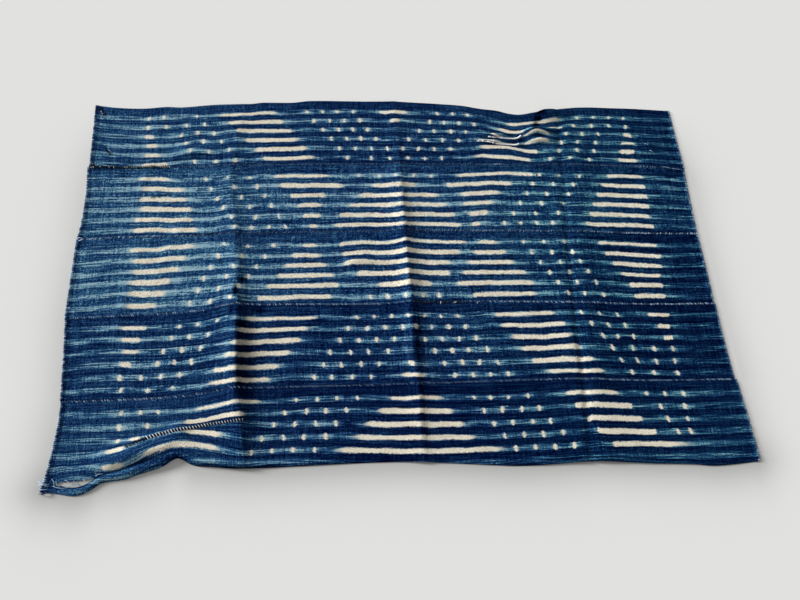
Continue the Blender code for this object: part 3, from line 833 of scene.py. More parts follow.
def strip_sheet(strip):
    """The strip's underside as a grid mesh that carries its dye facts."""
    x, y, z, across = lay_grid(strip)
    row_count, column_count = x.shape
    mesh = grid_mesh(f"strip_{strip}_sheet", column_count - 1, row_count - 1)
    flat = read_values(mesh.vertices, "co", 3)
    column = np.rint((flat[:, 0] + 1) / 2 * (column_count - 1)).astype(int)
    row = np.rint((1 - flat[:, 1]) / 2 * (row_count - 1)).astype(int)
    shape = np.stack((x - CENTRE[0], y - CENTRE[1], z), -1)[row, column]
    store_values(mesh.vertices, "co", shape)

    dye_row, place = dye_place(strip, x, across)
    left, right_end = end_places(strip, across)
    from_end = np.minimum(x - left, right_end - x)
    width = strip_width(strip, x)
    from_side = width * np.minimum(across, 1 - across)
    doubled = np.interp(from_end, (END_HEM - 1.2 * MM, END_HEM), (1.0, 0.0))
    if strip == 5:
        turned = np.interp(width * (1 - across), (TURNED_UP - 1.5 * MM, TURNED_UP), (1.0, 0.0))
        turned = turned * flap_share(x)
        doubled = np.maximum(doubled, turned)
    rounded = np.interp(from_side, *ROUNDED_SIDE) * np.interp(from_end, *ROUNDED_END)
    facts = mark_facts(strip, x, dye_row)
    facts.update(row=dye_row, ground=ground_tone_and_light(strip, x, y), shade=fold_shade(strip, x, y),
                 from_end=from_end, from_side=from_side, layers=(0.5 + 0.5 * doubled) * rounded)
    for name, values in facts.items():
        point_values(mesh, name, values[row, column])
    cloth_place = np.stack((x, place, np.full_like(x, strip * STRIP_SHIFT)), -1)
    point_values(mesh, "cloth_place", cloth_place[row, column], "FLOAT_VECTOR")
    if strip == 5:
        part_tear(mesh, row)
    return mesh


# %% [markdown]
# Three shader effects are shared by all five strips, so each is a node group with named sockets.
# The first is the yarn: long streaks along the warp, where one handspun thread took more dye than
# its neighbour, and short slubs. Noise that is stretched along the cloth gives both. The second is
# the resist itself, which turns the dye facts into cream, pale and faint marks. The third is the
# plain weave that the light catches. What flows out of a node can be added, subtracted and
# multiplied here like a number, so the groups read as formulas.

# %% Helpers for node trees
class Flow:
    """A number, place or colour that flows out of a node."""

    def __init__(self, socket):
        self.socket = socket

    def __add__(self, other):
        return maths("ADD", self, other)

    def __sub__(self, other):
        return maths("SUBTRACT", self, other)

    def __mul__(self, other):
        return maths("MULTIPLY", self, other)


def feed(socket, value):
    """Link a flow into an input, or set the input to a plain value."""
    if isinstance(value, Flow):
        socket.id_data.links.new(value.socket, socket)
    else:
        socket.default_value = value


def add_node(tree, kind, inputs=None, **settings):
    """Add a node, set its properties, and feed its inputs."""
    made = tree.nodes.new("ShaderNode" + kind)
    for name, value in settings.items():
        setattr(made, name, value)
    for name, value in (inputs or {}).items():
        feed(made.inputs[name], value)
    return made


def pass_on(kind, inputs, output=0, **settings):
    """Add a node to the tree that one of its inputs flows in, and return what flows out of it."""
    tree = next(value.socket.id_data for value in inputs.values() if isinstance(value, Flow))
    return Flow(add_node(tree, kind, inputs, **settings).outputs[output])


def maths(operation, *values, clamp=False):
    """The result of a math node."""
    return pass_on("Math", dict(enumerate(values)), operation=operation, use_clamp=clamp)


def spread(value, low, high, out_low=0.0, out_high=1.0):
    """Map a value smoothly from one range to another."""
    inputs = {"Value": value, "From Min": low, "From Max": high, "To Min": out_low,
              "To Max": out_high}
    return pass_on("MapRange", inputs, interpolation_type="SMOOTHSTEP")


def noise(place, stretch, detail=2.0):
    """Noise whose cells are stretched: so many to a metre along, across and between strips."""
    scaled = pass_on("VectorMath", {0: place, 1: stretch}, operation="MULTIPLY")
    return pass_on("TexNoise", {"Vector": scaled, "Scale": 1.0, "Detail": detail})


def blend_colours(share, first, second):
    """Mix two colours by a share."""
    return pass_on("Mix", {"Factor": share, 6: first, 7: second}, 2, data_type="RGBA")


def new_group(name, inputs, outputs):
    """A shader group with named sockets: its tree, what flows in, and its output node."""
    group = bpy.data.node_groups.new(name, "ShaderNodeTree")
    for direction, sockets in (("INPUT", inputs), ("OUTPUT", outputs)):
        for socket in sockets:
            kind = "NodeSocketVector" if socket == "Place" else "NodeSocketFloat"
            group.interface.new_socket(socket, in_out=direction, socket_type=kind)
    flows = {socket.name: Flow(socket) for socket in group.nodes.new("NodeGroupInput").outputs}
    return group, flows, group.nodes.new("NodeGroupOutput")


def use_group(tree, group, inputs):
    """Place a group in a tree and return what flows out of it."""
    made = add_node(tree, "Group", inputs, node_tree=group)
    return {socket.name: Flow(socket) for socket in made.outputs}


# %% Node group: handspun yarn
YARN_NOISES = {                           # cells to a metre along, across and between strips; detail
    "Long Threads": (4.0, 230.0, 60.0, 2.0),
    "Short Threads": (17.0, 400.0, 60.0, 2.0),
    "Slubs": (150.0, 300.0, 60.0, 2.0),
    "Weft": (300.0, 22.0, 60.0, 1.5),
    "Nubs": (410.0, 520.0, 60.0, 0.0),
    "Waver": (22.0, 30.0, 60.0, 2.0),
}
yarn, spun, yarn_out = new_group("Handspun yarn", ["Place"], YARN_NOISES)
for name, (*stretch, detail) in YARN_NOISES.items():
    feed(yarn_out.inputs[name], noise(spun["Place"], stretch, detail) - 0.5)
print("yarn:", len(yarn.nodes), "nodes")

# %% Node group: stitched resist
ROW_WAVER = 7 * MM                        # how far uneven yarn moves a row
RAGGED_TIPS, RAGGED_SIDES = 12 * MM, 4 * MM   # how far it moves the borders of a mark
RAGGED_BLEED, RAGGED_BAND = 16 * MM, 9 * MM   # and those of the bleed and the row's band
NUBBED_SIDES = 4 * MM
BLEED_SHARE = 0.76                        # how thick the bleed is against its mark
CORE_SHARE = 0.45                         # how pale its middle line is

resist, known, resist_out = new_group(
    "Stitched resist",
    ("Row", "From Mark", "Half Length", "Outside", "Half", "Tip", "Reach", "Lean", "Ragged", "Nubs",
     "Waver"),
    ("Cream", "Bleed", "Band", "Fringe"))
aside = (maths("FRACT", known["Row"] + 0.5) - 0.5) * ROW_PITCH + known["Waver"] * ROW_WAVER
from_row = maths("ABSOLUTE", aside)
from_middle = maths("ABSOLUTE", aside - known["Lean"])
exact = maths("ABSOLUTE", known["From Mark"]) - known["Half Length"]
outside = maths("MAXIMUM", exact, known["Outside"] - 4 * MM)
inside = known["Ragged"] * RAGGED_TIPS - outside

fullness = maths("DIVIDE", inside, known["Tip"], clamp=True)
cream_gap = known["Half"] * maths("POWER", fullness, 0.5) - from_middle
cream_gap = cream_gap - known["Ragged"] * RAGGED_SIDES - known["Nubs"] * NUBBED_SIDES
cream = spread(cream_gap, -1.5 * MM, 1.2 * MM) * spread(fullness, 0.0, 0.85)

wing = maths("DIVIDE", inside + known["Reach"], known["Reach"], clamp=True)
wing_half = known["Half"] * BLEED_SHARE * wing + 0.5 * MM
wing_gap = wing_half - from_middle - known["Ragged"] * RAGGED_BLEED
core = spread(from_row, 2.4 * MM, 0.6 * MM) * wing
bleed = spread(wing_gap, -2.4 * MM, 2.8 * MM) * wing + core * CORE_SHARE

band_gap = from_row + known["Ragged"] * RAGGED_BAND
band = spread(band_gap, 9.6 * MM, 4.6 * MM)
fringe = spread(band_gap, 5.5 * MM, 8.5 * MM) * spread(band_gap, 13.5 * MM, 10.0 * MM)
for name, flow in (("Cream", cream), ("Bleed", bleed), ("Band", band), ("Fringe", fringe)):
    feed(resist_out.inputs[name], flow)
print("resist:", len(resist.nodes), "nodes")

# %% Node group: plain weave
WOBBLE = 6.0                              # how far the threads wander, as an angle

weave, woven, weave_out = new_group("Plain weave", ("Place", "Threads per Metre"), ("Height", "Pits"))
wobble = noise(woven["Place"], (90.0, 90.0, 60.0))
split = add_node(weave, "SeparateXYZ", {0: woven["Place"]}).outputs
warp, weft = [maths("SINE", Flow(split[axis]) * woven["Threads per Metre"] * math.pi + wobble * WOBBLE)
              for axis in ("X", "Y")]
over_under = warp * weft
feed(weave_out.inputs["Height"], over_under)
feed(weave_out.inputs["Pits"], spread(maths("ABSOLUTE", over_under), 0.0, 0.35, 1.0, 0.0))
print("weave:", len(weave.nodes), "nodes")

# %% [markdown]
# The cloth's material. Its colour is built the way it was dyed: deep indigo first, paler threads
# and faded clouds in it, the faint row lines, the bleed around each stitched mark, and the undyed
# cream at last. The ground tone that it starts from also holds painted light and painted
# highlights, a painted shade darkens a groove just inside the left end, and the painted shade of
# the folds is laid over everything at the end. Each strip came from another dye bath, so each has
# its own depth. To the right the dye turns a little greener, and the turned-over end is rubbed pale
# there. Only values that change over the surface are linked. Roughness is high everywhere, because
# cotton is matt.

# %% Cotton materials
TONES = (                                 # from the deepest dye to the palest bleed
    (0.00, (0.0002, 0.0012, 0.0160)),
    (0.18, (0.0012, 0.0070, 0.0390)),
    (0.36, (0.0048, 0.0208, 0.0740)),
    (0.54, (0.0122, 0.0465, 0.1360)),
    (0.70, (0.0290, 0.1060, 0.2070)),
    (0.84, (0.0770, 0.2070, 0.2980)),
    (1.00, (0.2700, 0.4100, 0.4800)),
)
CREAM = (0.8200, 0.7700, 0.6400, 1.0)
TAN = (0.4300, 0.3700, 0.2700, 1.0)
BLACK = (0.0, 0.0, 0.0, 1.0)
GREENER = (0.80, 0.98, 0.89)              # what the dye's colour is multiplied by at the right
YARN_TONES = {"Long Threads": 0.50, "Short Threads": 0.72, "Slubs": 0.50, "Weft": 0.52, "Nubs": 0.84}
MARK_TONES = {"Band": 0.23, "Bleed": 0.26, "Fringe": -0.07}
BAND_THREAD_TONE, SELVEDGE_TONE = 1.30, -0.05
# Weights of the painted shade in the groove inside the left end, of the rubbed right end, and of the
# painted shade in the folds
END_GROOVE_SHADE_TONE, RUBBED_TONE, SHADE_TONE = -0.20, 0.34, -0.25
THREADS_PER_METRE = 900.0
WEAVE_RELIEF = 0.35 * MM


def fact(tree, name, output="Fac"):
    """A number or a place that the mesh carries."""
    return Flow(add_node(tree, "Attribute", attribute_name=name).outputs[output])


def colour_ramp(value, stops):
    """The colour at a value, on a ramp through stops of a position and a colour."""
    ramp = add_node(value.socket.id_data, "ValToRGB", {"Fac": value})
    elements = ramp.color_ramp.elements
    for _ in stops[2:]:
        elements.new(0.5)
    for element, (position, colour) in zip(elements, stops):
        element.position = position
        element.color = (*colour, 1.0)
    return Flow(ramp.outputs["Color"])


def add_up(*terms):
    """The sum of flows, each times its weight."""
    first, *others = [flow * weight for flow, weight in terms]
    return sum(others, first)


def new_material(name, shine):
    """A matt material, its node tree, and the inputs of its shader."""
    material = bpy.data.materials.new(name)
    material.use_nodes = True
    surface = material.node_tree.nodes["Principled BSDF"].inputs
    surface["Roughness"].default_value = 0.9
    surface["Specular IOR Level"].default_value = shine
    return material, material.node_tree, surface


def cotton(strip):
    """The dyed cotton of one strip."""
    material, tree, surface = new_material(f"strip_{strip}_cotton", 0.0)
    cloth_place = fact(tree, "cloth_place", "Vector")
    threads = use_group(tree, yarn, {"Place": cloth_place})
    names = ("row", "from_mark", "half_length", "outside", "half", "tip", "reach", "lean")
    facts = {name.replace("_", " ").title(): fact(tree, name) for name in names}
    marks = use_group(tree, resist, dict(facts, Ragged=threads["Slubs"], Nubs=threads["Nubs"],
                                         Waver=threads["Waver"]))
    cloth = use_group(tree, weave, {"Place": cloth_place, "Threads per Metre": THREADS_PER_METRE})

    from_end, shade = fact(tree, "from_end"), fact(tree, "shade")
    rightness = spread(pass_on("SeparateXYZ", {0: cloth_place}), 0.0, 0.5)
    # A painted shade along the groove just inside the turned-over left end
    end_groove_shade = spread(from_end, 2.6 * MM, 4.0 * MM) * spread(from_end, 7.6 * MM, 6.0 * MM)
    rubbed_end = spread(from_end, 1.2 * MM, 2.4 * MM) * spread(from_end, 7.0 * MM, 4.6 * MM)
    # The ground tone carries the dye's own unevenness together with painted light and highlights; shade is
    # the painted shade of the folds and the hem
    tone = add_up((fact(tree, "ground"), 1.0),
                  *((threads[name], weight) for name, weight in YARN_TONES.items()),
                  *((marks[name], weight) for name, weight in MARK_TONES.items()),
                  (marks["Band"] * threads["Short Threads"], BAND_THREAD_TONE),
                  (spread(fact(tree, "from_side"), 26 * MM, 14 * MM), SELVEDGE_TONE),
                  (end_groove_shade * maths("SUBTRACT", 1.0, rightness), END_GROOVE_SHADE_TONE),
                  (rubbed_end * rightness, RUBBED_TONE), (shade, SHADE_TONE))
    dyed = colour_ramp(tone, TONES)
    greener = pass_on("VectorMath", {0: dyed, 1: GREENER}, operation="MULTIPLY")
    dyed = blend_colours(rightness, dyed, greener)

    flecks = maths("MAXIMUM", spread(threads["Nubs"], -0.02, 0.20), cloth["Pits"] * 0.4)
    worn = spread(threads["Waver"], -0.05, 0.25, 0.0, 0.32)
    undyed = blend_colours(worn, blend_colours(flecks * 0.78, CREAM, TAN), TAN)
    colour = blend_colours(marks["Cream"], dyed, undyed)
    feed(surface["Base Color"], blend_colours(shade * 0.75, colour, BLACK))
    feed(surface["Roughness"], threads["Slubs"] * 0.2 + 0.9)
    relief = add_up((cloth["Height"], 1.0), (threads["Slubs"], 3.0), (threads["Nubs"], 1.5))
    bump = {"Strength": 0.55, "Distance": WEAVE_RELIEF, "Height": relief}
    feed(surface["Normal"], pass_on("Bump", bump))
    return material


COTTON = {strip: cotton(strip) for strip in ENDS}
print("materials:", [material.name for material in COTTON.values()])

# %% [markdown]
# Now the sheets themselves. Solidify thickens each grid upwards by one or two layers, and rounds
# its borders a little, so that two strips meet in a shallow groove. The tear is cut first, by
# parting the faces on both sides of one row of vertices.

# %% Make the five strips
LAYERS_MM = 3.0                           # Solidify's full thickness: two layers
MAP_LENGTH = 1.57                         # metres of cloth that fill the flat map from side to side
MAP_HEIGHT, MAP_MARGIN = 0.47, 0.015      # shares of the flat map


def finish_mesh(obj):
    """Apply an object's modifiers and return its new mesh."""
    evaluated = obj.evaluated_get(bpy.context.evaluated_depsgraph_get())
    mesh = bpy.data.meshes.new_from_object(evaluated)
    obj.modifiers.clear()
    obj.data = mesh
    return mesh


def add_flat_map(mesh, strip, sheet_count):
    """Lay the faces out flat: the upper face and the rim in the upper half, the underside below.

    The first sheet_count vertices are the underside's. The rim's lower corners are drawn outwards.
    """
    x, y = read_values(mesh.vertices, "co", 3)[:, :2].T + CENTRE[:, None]
    along, up_strip = x / MAP_LENGTH + 0.5, (y - border(strip, x)) / strip_width(strip, x)
    corner = read_values(mesh.loops, "vertex_index", kind=np.int32)
    corners_each = read_values(mesh.polygons, "loop_total", kind=np.int32)
    face = np.repeat(np.arange(len(mesh.polygons)), corners_each)
    is_upper = corner >= sheet_count
    in_upper_half = (np.bincount(face, is_upper) > 0)[face]
    at_rim_foot = in_upper_half & ~is_upper
    outwards = read_values(mesh.polygons, "normal", 3)[face, :2] * at_rim_foot[:, None]
    flat_x = along[corner] + outwards[:, 0] * 0.5 * MAP_MARGIN
    flat_y = MAP_MARGIN + MAP_HEIGHT * up_strip[corner] + 0.5 * in_upper_half
    flat_y = flat_y + outwards[:, 1] * 0.8 * MAP_MARGIN
    flat_map = mesh.uv_layers.new(name="OFBake")
    store_values(flat_map.data, "uv", np.stack((flat_x, flat_y), -1))


def make_strip(strip):
    """One strip, thickened, with its material, riding in place of its solid."""
    mesh = strip_sheet(strip)
    sheet_count = len(mesh.vertices)
    obj = add_object(f"cloth_strip_{strip}", mesh)
    mesh.materials.append(COTTON[strip])
    layers = np.round(read_values(mesh.attributes["layers"].data, "value"), 2)
    group = obj.vertex_groups.new(name="layer_weights")
    for weight in np.unique(layers):
        group.add(np.flatnonzero(layers == weight).tolist(), float(weight), "REPLACE")
    thicken = obj.modifiers.new("thickness", "SOLIDIFY")
    thicken.thickness = LAYERS_MM * MM
    thicken.offset = 1.0
    thicken.vertex_group = group.name
    mesh = finish_mesh(obj)
    mesh.shade_smooth()
    mesh.set_sharp_from_angle(angle=math.radians(60))
    add_flat_map(mesh, strip, sheet_count)
    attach(obj, "root")
    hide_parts(f"strip_{strip}")
    cut_width = float(strip_width(strip, 0.0))
    if strip == 5:
        cut_width += TURNED_UP
    print(obj.name, len(mesh.polygons), "faces")


for strip in ENDS:
    make_strip(strip)

# %% [markdown]
# Sewing. The strips are whipped together by hand, their ends are overcast, and old damage has
# been mended with darker and lighter cotton. Every stitch is a short bent tube on the cloth, and
# each kind of sewing is joined into one mesh, because thousands of small objects would be slow.
# A tone on each stitch tells the shader how worn and how pale its thread is.

# %% Threads
THREAD_SIDES = 5
THREAD_TAPER = 0.55                       # how thick a thread's two ends are


def unit(vectors):
    """Vectors made one metre long."""
    return vectors / (np.linalg.norm(vectors, axis=-1, keepdims=True) + 1e-12)


def thread_mesh(name, parts, material):
    """One object of many bent tubes. A part holds paths (threads, points, 3), tones and radii."""
    paths, tones, radii = [np.concatenate(values) for values in zip(*parts)]
    count, points, _ = paths.shape
    along = unit(np.gradient(paths, axis=1))
    level = unit(np.cross(along, (0.0, 0.0, 1.0)))
    above = np.cross(level, along)
    turns = np.arange(THREAD_SIDES) / THREAD_SIDES * 2 * math.pi
    taper = np.ones(points)
    taper[[0, -1]] = THREAD_TAPER
    reach = radii[:, None, None, None] * taper[None, :, None, None]
    ring = np.cos(turns)[:, None] * level[:, :, None] + np.sin(turns)[:, None] * above[:, :, None]
    vertices = (paths[:, :, None] + ring * reach).reshape(-1, 3)
    vertices[:, :2] -= CENTRE
    here = np.arange(len(vertices)).reshape(count, points, THREAD_SIDES)
    beside = np.roll(here, -1, axis=2)
    walls = np.stack((here[:, :-1], beside[:, :-1], beside[:, 1:], here[:, 1:]), -1).reshape(-1, 4)
    mesh = bpy.data.meshes.new(name)
    mesh.from_pydata(vertices.tolist(), [],
                     walls.tolist() + here[:, 0, ::-1].tolist() + here[:, -1].tolist())
    mesh.update()
    point_values(mesh, "tone", np.repeat(tones, points * THREAD_SIDES))
    mesh.materials.append(material)
    mesh.shade_smooth()
    obj = add_object(name, mesh)
    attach(obj, "root")
    print(name, count, "stitches,", len(mesh.polygons), "faces")


def thread_material(name, *colours):
    """Matt cotton thread whose colour follows each stitch's tone, from dark to light."""
    material, tree, surface = new_material(name, 0.05)
    feed(surface["Base Color"], colour_ramp(fact(tree, "tone"), list(zip((0.0, 0.5, 1.0), colours))))
    return material


pale_thread = thread_material("pale_thread", (0.004, 0.010, 0.035), (0.120, 0.210, 0.370),
                              (0.520, 0.670, 0.820))
mending_thread = thread_material("mending_thread", (0.0015, 0.0020, 0.0060), (0.020, 0.025, 0.045),
                                 (0.950, 0.960, 0.960))


# %% [markdown]
# A whipstitch crosses a seam at a slant, about every 4.7 mm. Wear has buried the thread in places,
# so how clearly it shows is a smooth line along each seam.

# %% Whipped seams
STITCH_PITCH = 4.7 * MM
SEAM_SHOWS = {                            # x in mm, how clearly the thread shows
    1: ((-560, 0.10), (-500, 0.45), (-300, 0.35), (200, 0.32), (235, 0.45), (255, 0.95),
        (280, 0.25), (480, 0.35), (600, 0.30), (640, 0.55), (680, 0.35), (760, 0.35)),
    2: ((-760, 0.95), (-560, 0.70), (-420, 0.40), (-100, 0.35), (200, 0.55), (420, 0.55),
        (520, 0.65), (620, 0.90), (760, 0.95)),
    3: ((-760, 0.55), (-600, 0.62), (-380, 0.66), (-100, 0.55), (40, 0.30), (150, 0.25),
        (200, 0.60), (520, 0.60), (620, 0.75), (760, 0.70)),
    4: ((-760, 0.62), (-560, 0.66), (-400, 0.50), (-200, 0.42), (200, 0.40), (450, 0.55),
        (600, 0.45), (760, 0.62)),
}
SEAM_SLANT = {1: 0.5, 2: 0.7, 3: -0.7, 4: -0.8}
SEAM_THREAD = 0.64 * MM                   # its radius
SEAM_START, SEAM_END = -748 * MM, 742 * MM
SEAM_1_START = -555 * MM                  # left of here the first seam is whipped in black
GROOVE_DEPTH, GROOVE_HALF = 0.65 * MM, 1.3 * MM
SUNK = 0.35 * MM                          # how far a stitch's ends go into the cloth


def arch(strip, x, y, run_x, run_y, lift, groove=0.0, points=5):
    """Paths of stitches at (x, y) that arch over a strip, and over the groove at its near border."""
    share = np.linspace(-1, 1, points)[None, :]
    path_x = x[:, None] + run_x[:, None] * share
    path_y = y[:, None] + run_y[:, None] * share
    dip = groove * np.exp(-((path_y - border(strip, path_x)) / GROOVE_HALF) ** 2)
    upper_face = cloth_height(strip, path_x, path_y) + THICKNESS - dip
    return np.stack((path_x, path_y, upper_face + lift[:, None] * (1 - share ** 2) - SUNK), -1)


def seam_stitches(seam):
    """Paths, tones and radii of the whipstitches along a seam."""
    x = np.arange(SEAM_1_START if seam == 1 else SEAM_START, SEAM_END, STITCH_PITCH)
    x = x + rng.normal(0, 0.5 * MM, len(x))
    y = border(seam, x) + rng.normal(0, 0.35 * MM, len(x))
    clear = stops_line(SEAM_SHOWS[seam], x, 1)
    run_y = rng.uniform(1.9, 2.6, len(x)) * MM
    run_x = run_y * (SEAM_SLANT[seam] + rng.normal(0, 0.15, len(x)))
    paths = arch(seam, x, y, run_x, run_y, rng.uniform(0.9, 1.4, len(x)) * MM, GROOVE_DEPTH)
    tones = np.clip(clear * rng.choice((0.2, 0.8, 1.3), len(x), p=(0.3, 0.4, 0.3)), 0, 1)
    return paths, tones, np.full(len(x), SEAM_THREAD)


thread_mesh("seam_stitches", [seam_stitches(seam) for seam in SEAM_SHOWS], pale_thread)

# %% [markdown]
# The ends of the strips are turned over once and overcast: short threads run from the upper face
# over the edge. The left end shows them clearly, and the right end only here and there.

# %% Overcast ends
OVERCAST_PITCH = 4.4 * MM
OVERCAST_PATH = (                         # inwards: share of the reach, mm; up: share of the rise, mm
    (1.00, 0.0, 0.0, -0.3),
    (0.55, 0.0, 1.0, 0.0),
    (0.00, 0.0, 0.6, 0.0),
    (0.00, -0.5, 0.0, -1.4),
    (0.00, -0.1, 0.0, -2.5),
)
OVERCAST_TONES = ((0.2, 0.7, 1.0), (0.45, 0.70, 1.00))    # at the left end and at the right end
OVERCAST_RADII = (0.85 * MM, 0.60 * MM)


def end_stitches(strip, side):
    """Paths, tones and radii of the threads over a strip's left end (0) or right end (1)."""
    length = strip_width(strip, -0.74)
    across = np.arange(2 * MM, length - 2 * MM, OVERCAST_PITCH) / length
    across = across + rng.normal(0, 0.4 * MM, len(across)) / length
    reach = rng.uniform(3.0, 5.2, len(across)) * MM
    rise = rng.uniform(0.30, 0.60, len(across)) * MM
    reach_share, further_in, rise_share, further_up = np.array(OVERCAST_PATH).T
    inwards = reach[:, None] * reach_share + further_in * MM
    path_x = end_places(strip, across)[side][:, None] + (-inwards if side else inwards)
    slant = np.linspace(0.8, -0.8, len(OVERCAST_PATH)) * MM
    path_y = border(strip - 1, path_x) - strip_width(strip, path_x) * across[:, None] + slant
    up = rise[:, None] * rise_share + further_up * MM
    path_z = cloth_height(strip, path_x, path_y) + 2 * THICKNESS + up
    tones = rng.choice(OVERCAST_TONES[side], len(across), p=(0.45, 0.30, 0.25))
    if (strip, side) == (1, 0):
        tones = tones * (rng.random(len(across)) < 0.6)
    return np.stack((path_x, path_y, path_z), -1), tones, np.full(len(across), OVERCAST_RADII[side])


thread_mesh("end_stitches", [end_stitches(strip, side) for strip in ENDS for side in (0, 1)], pale_thread)

# %% [markdown]
# Mends. A long diagonal mend in the near left corner is whipped in black and white cotton by
# turns. The left end of the first seam has been whipped again in black, the middle of the second
# and third seams is darned with dark loops, and a few more of these hold the left part. White
# stitches are left on two crests of the far pucker. Where thread has broken, loose ends stick up.

# %% Mends
MEND_LINE = ((-607, -385), (-572, -370), (-527, -358), (-481, -350), (-442, -344), (-368, -338))
BLACK_SEAM = (-747, -560)                 # x in mm along seam 1
DARNS = (                                 # from x, y to x, y in mm, how many stitches
    (10, -76, 128, -77, 34),
    (-20, 112, 70, 111, 12),
    (-600, 205, -560, 215, 6),
    (-718, 346, -700, 326, 9),
    (-742, 468, -730, 442, 14),
    (-744, 306, -738, 293, 10),
    (-500, 105, -440, 108, 7),
)
GATHERS = (                               # white stitches left on two crests, stops in mm
    ((238, 383), (267, 381), (300, 378), (316, 381), (326, 389)),
    ((206, 369), (240, 365), (265, 362), (308, 359), (318, 364)),
)
MEND_PITCH, BLACK_PITCH, GATHER_PITCH = 3.0, 2.6, 3.4     # mm from stitch to stitch
MEND_LEAN, BLACK_LEAN = 0.45, 0.55        # how far a stitch runs back for each mm across
PALE_RADIUS, DARK_RADIUS = 0.56, 1.25     # of the long mend's threads, in mm
GLINT_RADIUS, BLACK_RADIUS = 0.7, 1.3     # of the black seam's
DARN_RADIUS = 0.8


def places_along(line, pitch):
    """X at a pitch along a line of stops, and the line's y and slope there."""
    x = np.arange(line[0][0], line[-1][0], pitch) * MM
    y = stops_line(line, x)
    return x, y, np.gradient(y, x)


def long_mend():
    """Paths, tones and radii of the black and white whipstitches."""
    x, y, slope = places_along(MEND_LINE, MEND_PITCH)
    is_pale = np.arange(len(x)) % 2 == 0
    run_y = rng.uniform(3.8, 5.0, len(x)) * np.interp(x / MM, (-520, -400), (1.0, 0.6)) * MM
    paths = arch(5, x, y, -run_y * (slope + MEND_LEAN), run_y, np.where(is_pale, 2.2, 1.6) * MM)
    pale = np.where(is_pale, rng.uniform(0.75, 1.0, len(x)), 0.0)
    tones = np.where(x > -570 * MM, pale, pale * rng.choice((0.0, 0.5), len(x)))
    return paths, tones, np.where(is_pale, PALE_RADIUS, DARK_RADIUS) * MM


def black_seam():
    """Paths, tones and radii of the black stitches on the first seam, and the glints in them."""
    x = np.arange(*BLACK_SEAM, BLACK_PITCH) * MM
    is_glint = np.arange(len(x)) % 2 == 1
    kept = ~is_glint | (rng.random(len(x)) < 0.55)
    x, is_glint = x[kept], is_glint[kept]
    y = border(1, x) + rng.normal(0, 0.5 * MM, len(x))
    run_y = np.where(is_glint, 1.8, rng.uniform(4.4, 6.2, len(x))) * MM
    lift = np.where(is_glint, 1.9, rng.uniform(1.2, 1.8, len(x))) * MM
    tones = np.where(is_glint, rng.uniform(0.7, 1.0, len(x)), rng.uniform(0, 0.2, len(x)))
    radii = np.where(is_glint, GLINT_RADIUS, BLACK_RADIUS) * MM
    return arch(2, x, y, -BLACK_LEAN * run_y, run_y, lift), tones, radii


def darn(from_x, from_y, to_x, to_y, count):
    """Paths, tones and radii of dark loops along a short line."""
    share = (np.arange(count) + rng.uniform(0, 1, count)) / count
    x = (from_x + (to_x - from_x) * share) * MM
    y = (from_y + (to_y - from_y) * share + rng.normal(0, 1.6, count)) * MM
    angle = rng.uniform(0.3, 2.6, count)
    reach = rng.uniform(2.0, 4.6, count) * MM
    lift = rng.uniform(1.0, 2.2, count) * MM
    tones = np.where(rng.random(count) < 0.08, 0.85, rng.uniform(0.0, 0.3, count))
    paths = arch(3, x, y, reach * np.cos(angle), reach * np.sin(angle), lift)
    return paths, tones, np.full(count, DARN_RADIUS * MM)


def gather(line):
    """Paths, tones and radii of the white stitches on a crest, which grow towards the right."""
    x, y, slope = places_along(line, GATHER_PITCH)
    share = np.linspace(0, 1, len(x))
    run_x = rng.uniform(0.85, 1.15, len(x)) * np.interp(share, (0, 0.4, 0.7), (1.1, 1.4, 1.9)) * MM
    lift = rng.uniform(1.6, 2.4, len(x)) * MM
    tones = rng.uniform(0.94, 1.0, len(x))
    uneven = np.where(share < 0.5, rng.choice((0.5, 1.0, 1.2), len(x)), 1.0)
    radii = uneven * np.interp(share, (0, 0.5), (1.7, 2.1)) * MM
    return arch(1, x, y, run_x, run_x * slope, lift), tones, radii


mends = [long_mend(), black_seam(), *(darn(*row) for row in DARNS), *(gather(line) for line in GATHERS)]
thread_mesh("mending_stitches", mends, mending_thread)

# %% Broken threads
# From x, y to x, y in mm, how far a thread bends aside, its height and its tone
BROKEN = (
    (-750, -452, -772, -444, 2, 5, 0.8), (-752, -456, -771, -452, -2, 6, 0.9),
    (-750, -460, -768, -458, 3, 5, 0.6), (-751, -462, -767, -465, -2, 4, 0.3),
    (-749, -464, -763, -471, 2, 3, 0.1), (-752, -466, -768, -469, 2, 4, 0.1),
    (-747, -441, -741, -456, 3, 1, 0.8), (-738, -445, -729, -458, -2, 1, 0.7),
    (-722, -444, -711, -453, 2, 1, 0.8), (-704, -444, -697, -455, -2, 1, 0.6),
    (-686, -445, -680, -452, 1, 1, 0.8), (-743, -455, -712, -459, -3, 2, 0.8),
    (-718, -460, -690, -455, 2, 2, 0.7), (-664, -440, -648, -436, 2, 2, 0.9),
    (-700, 334, -709, 341, 2, 4, 0.9), (658, 364, 668, 360, 1, 2, 0.9),
    (668, 343, 676, 338, 1, 2, 0.9), (158, -84, 166, -79, 3, 3, 0.9),
    (694, 292, 716, 287, 1, 1, 0.7), (720, 287, 746, 284, -1, 1, 0.6),
    (-756, 97, -745, 99, 2, 2, 1.0), (-752, 93, -742, 97, -1, 2, 1.0),
)
FRAYED_FROM = -748                        # x in mm of the torn corner, whose ends are thicker


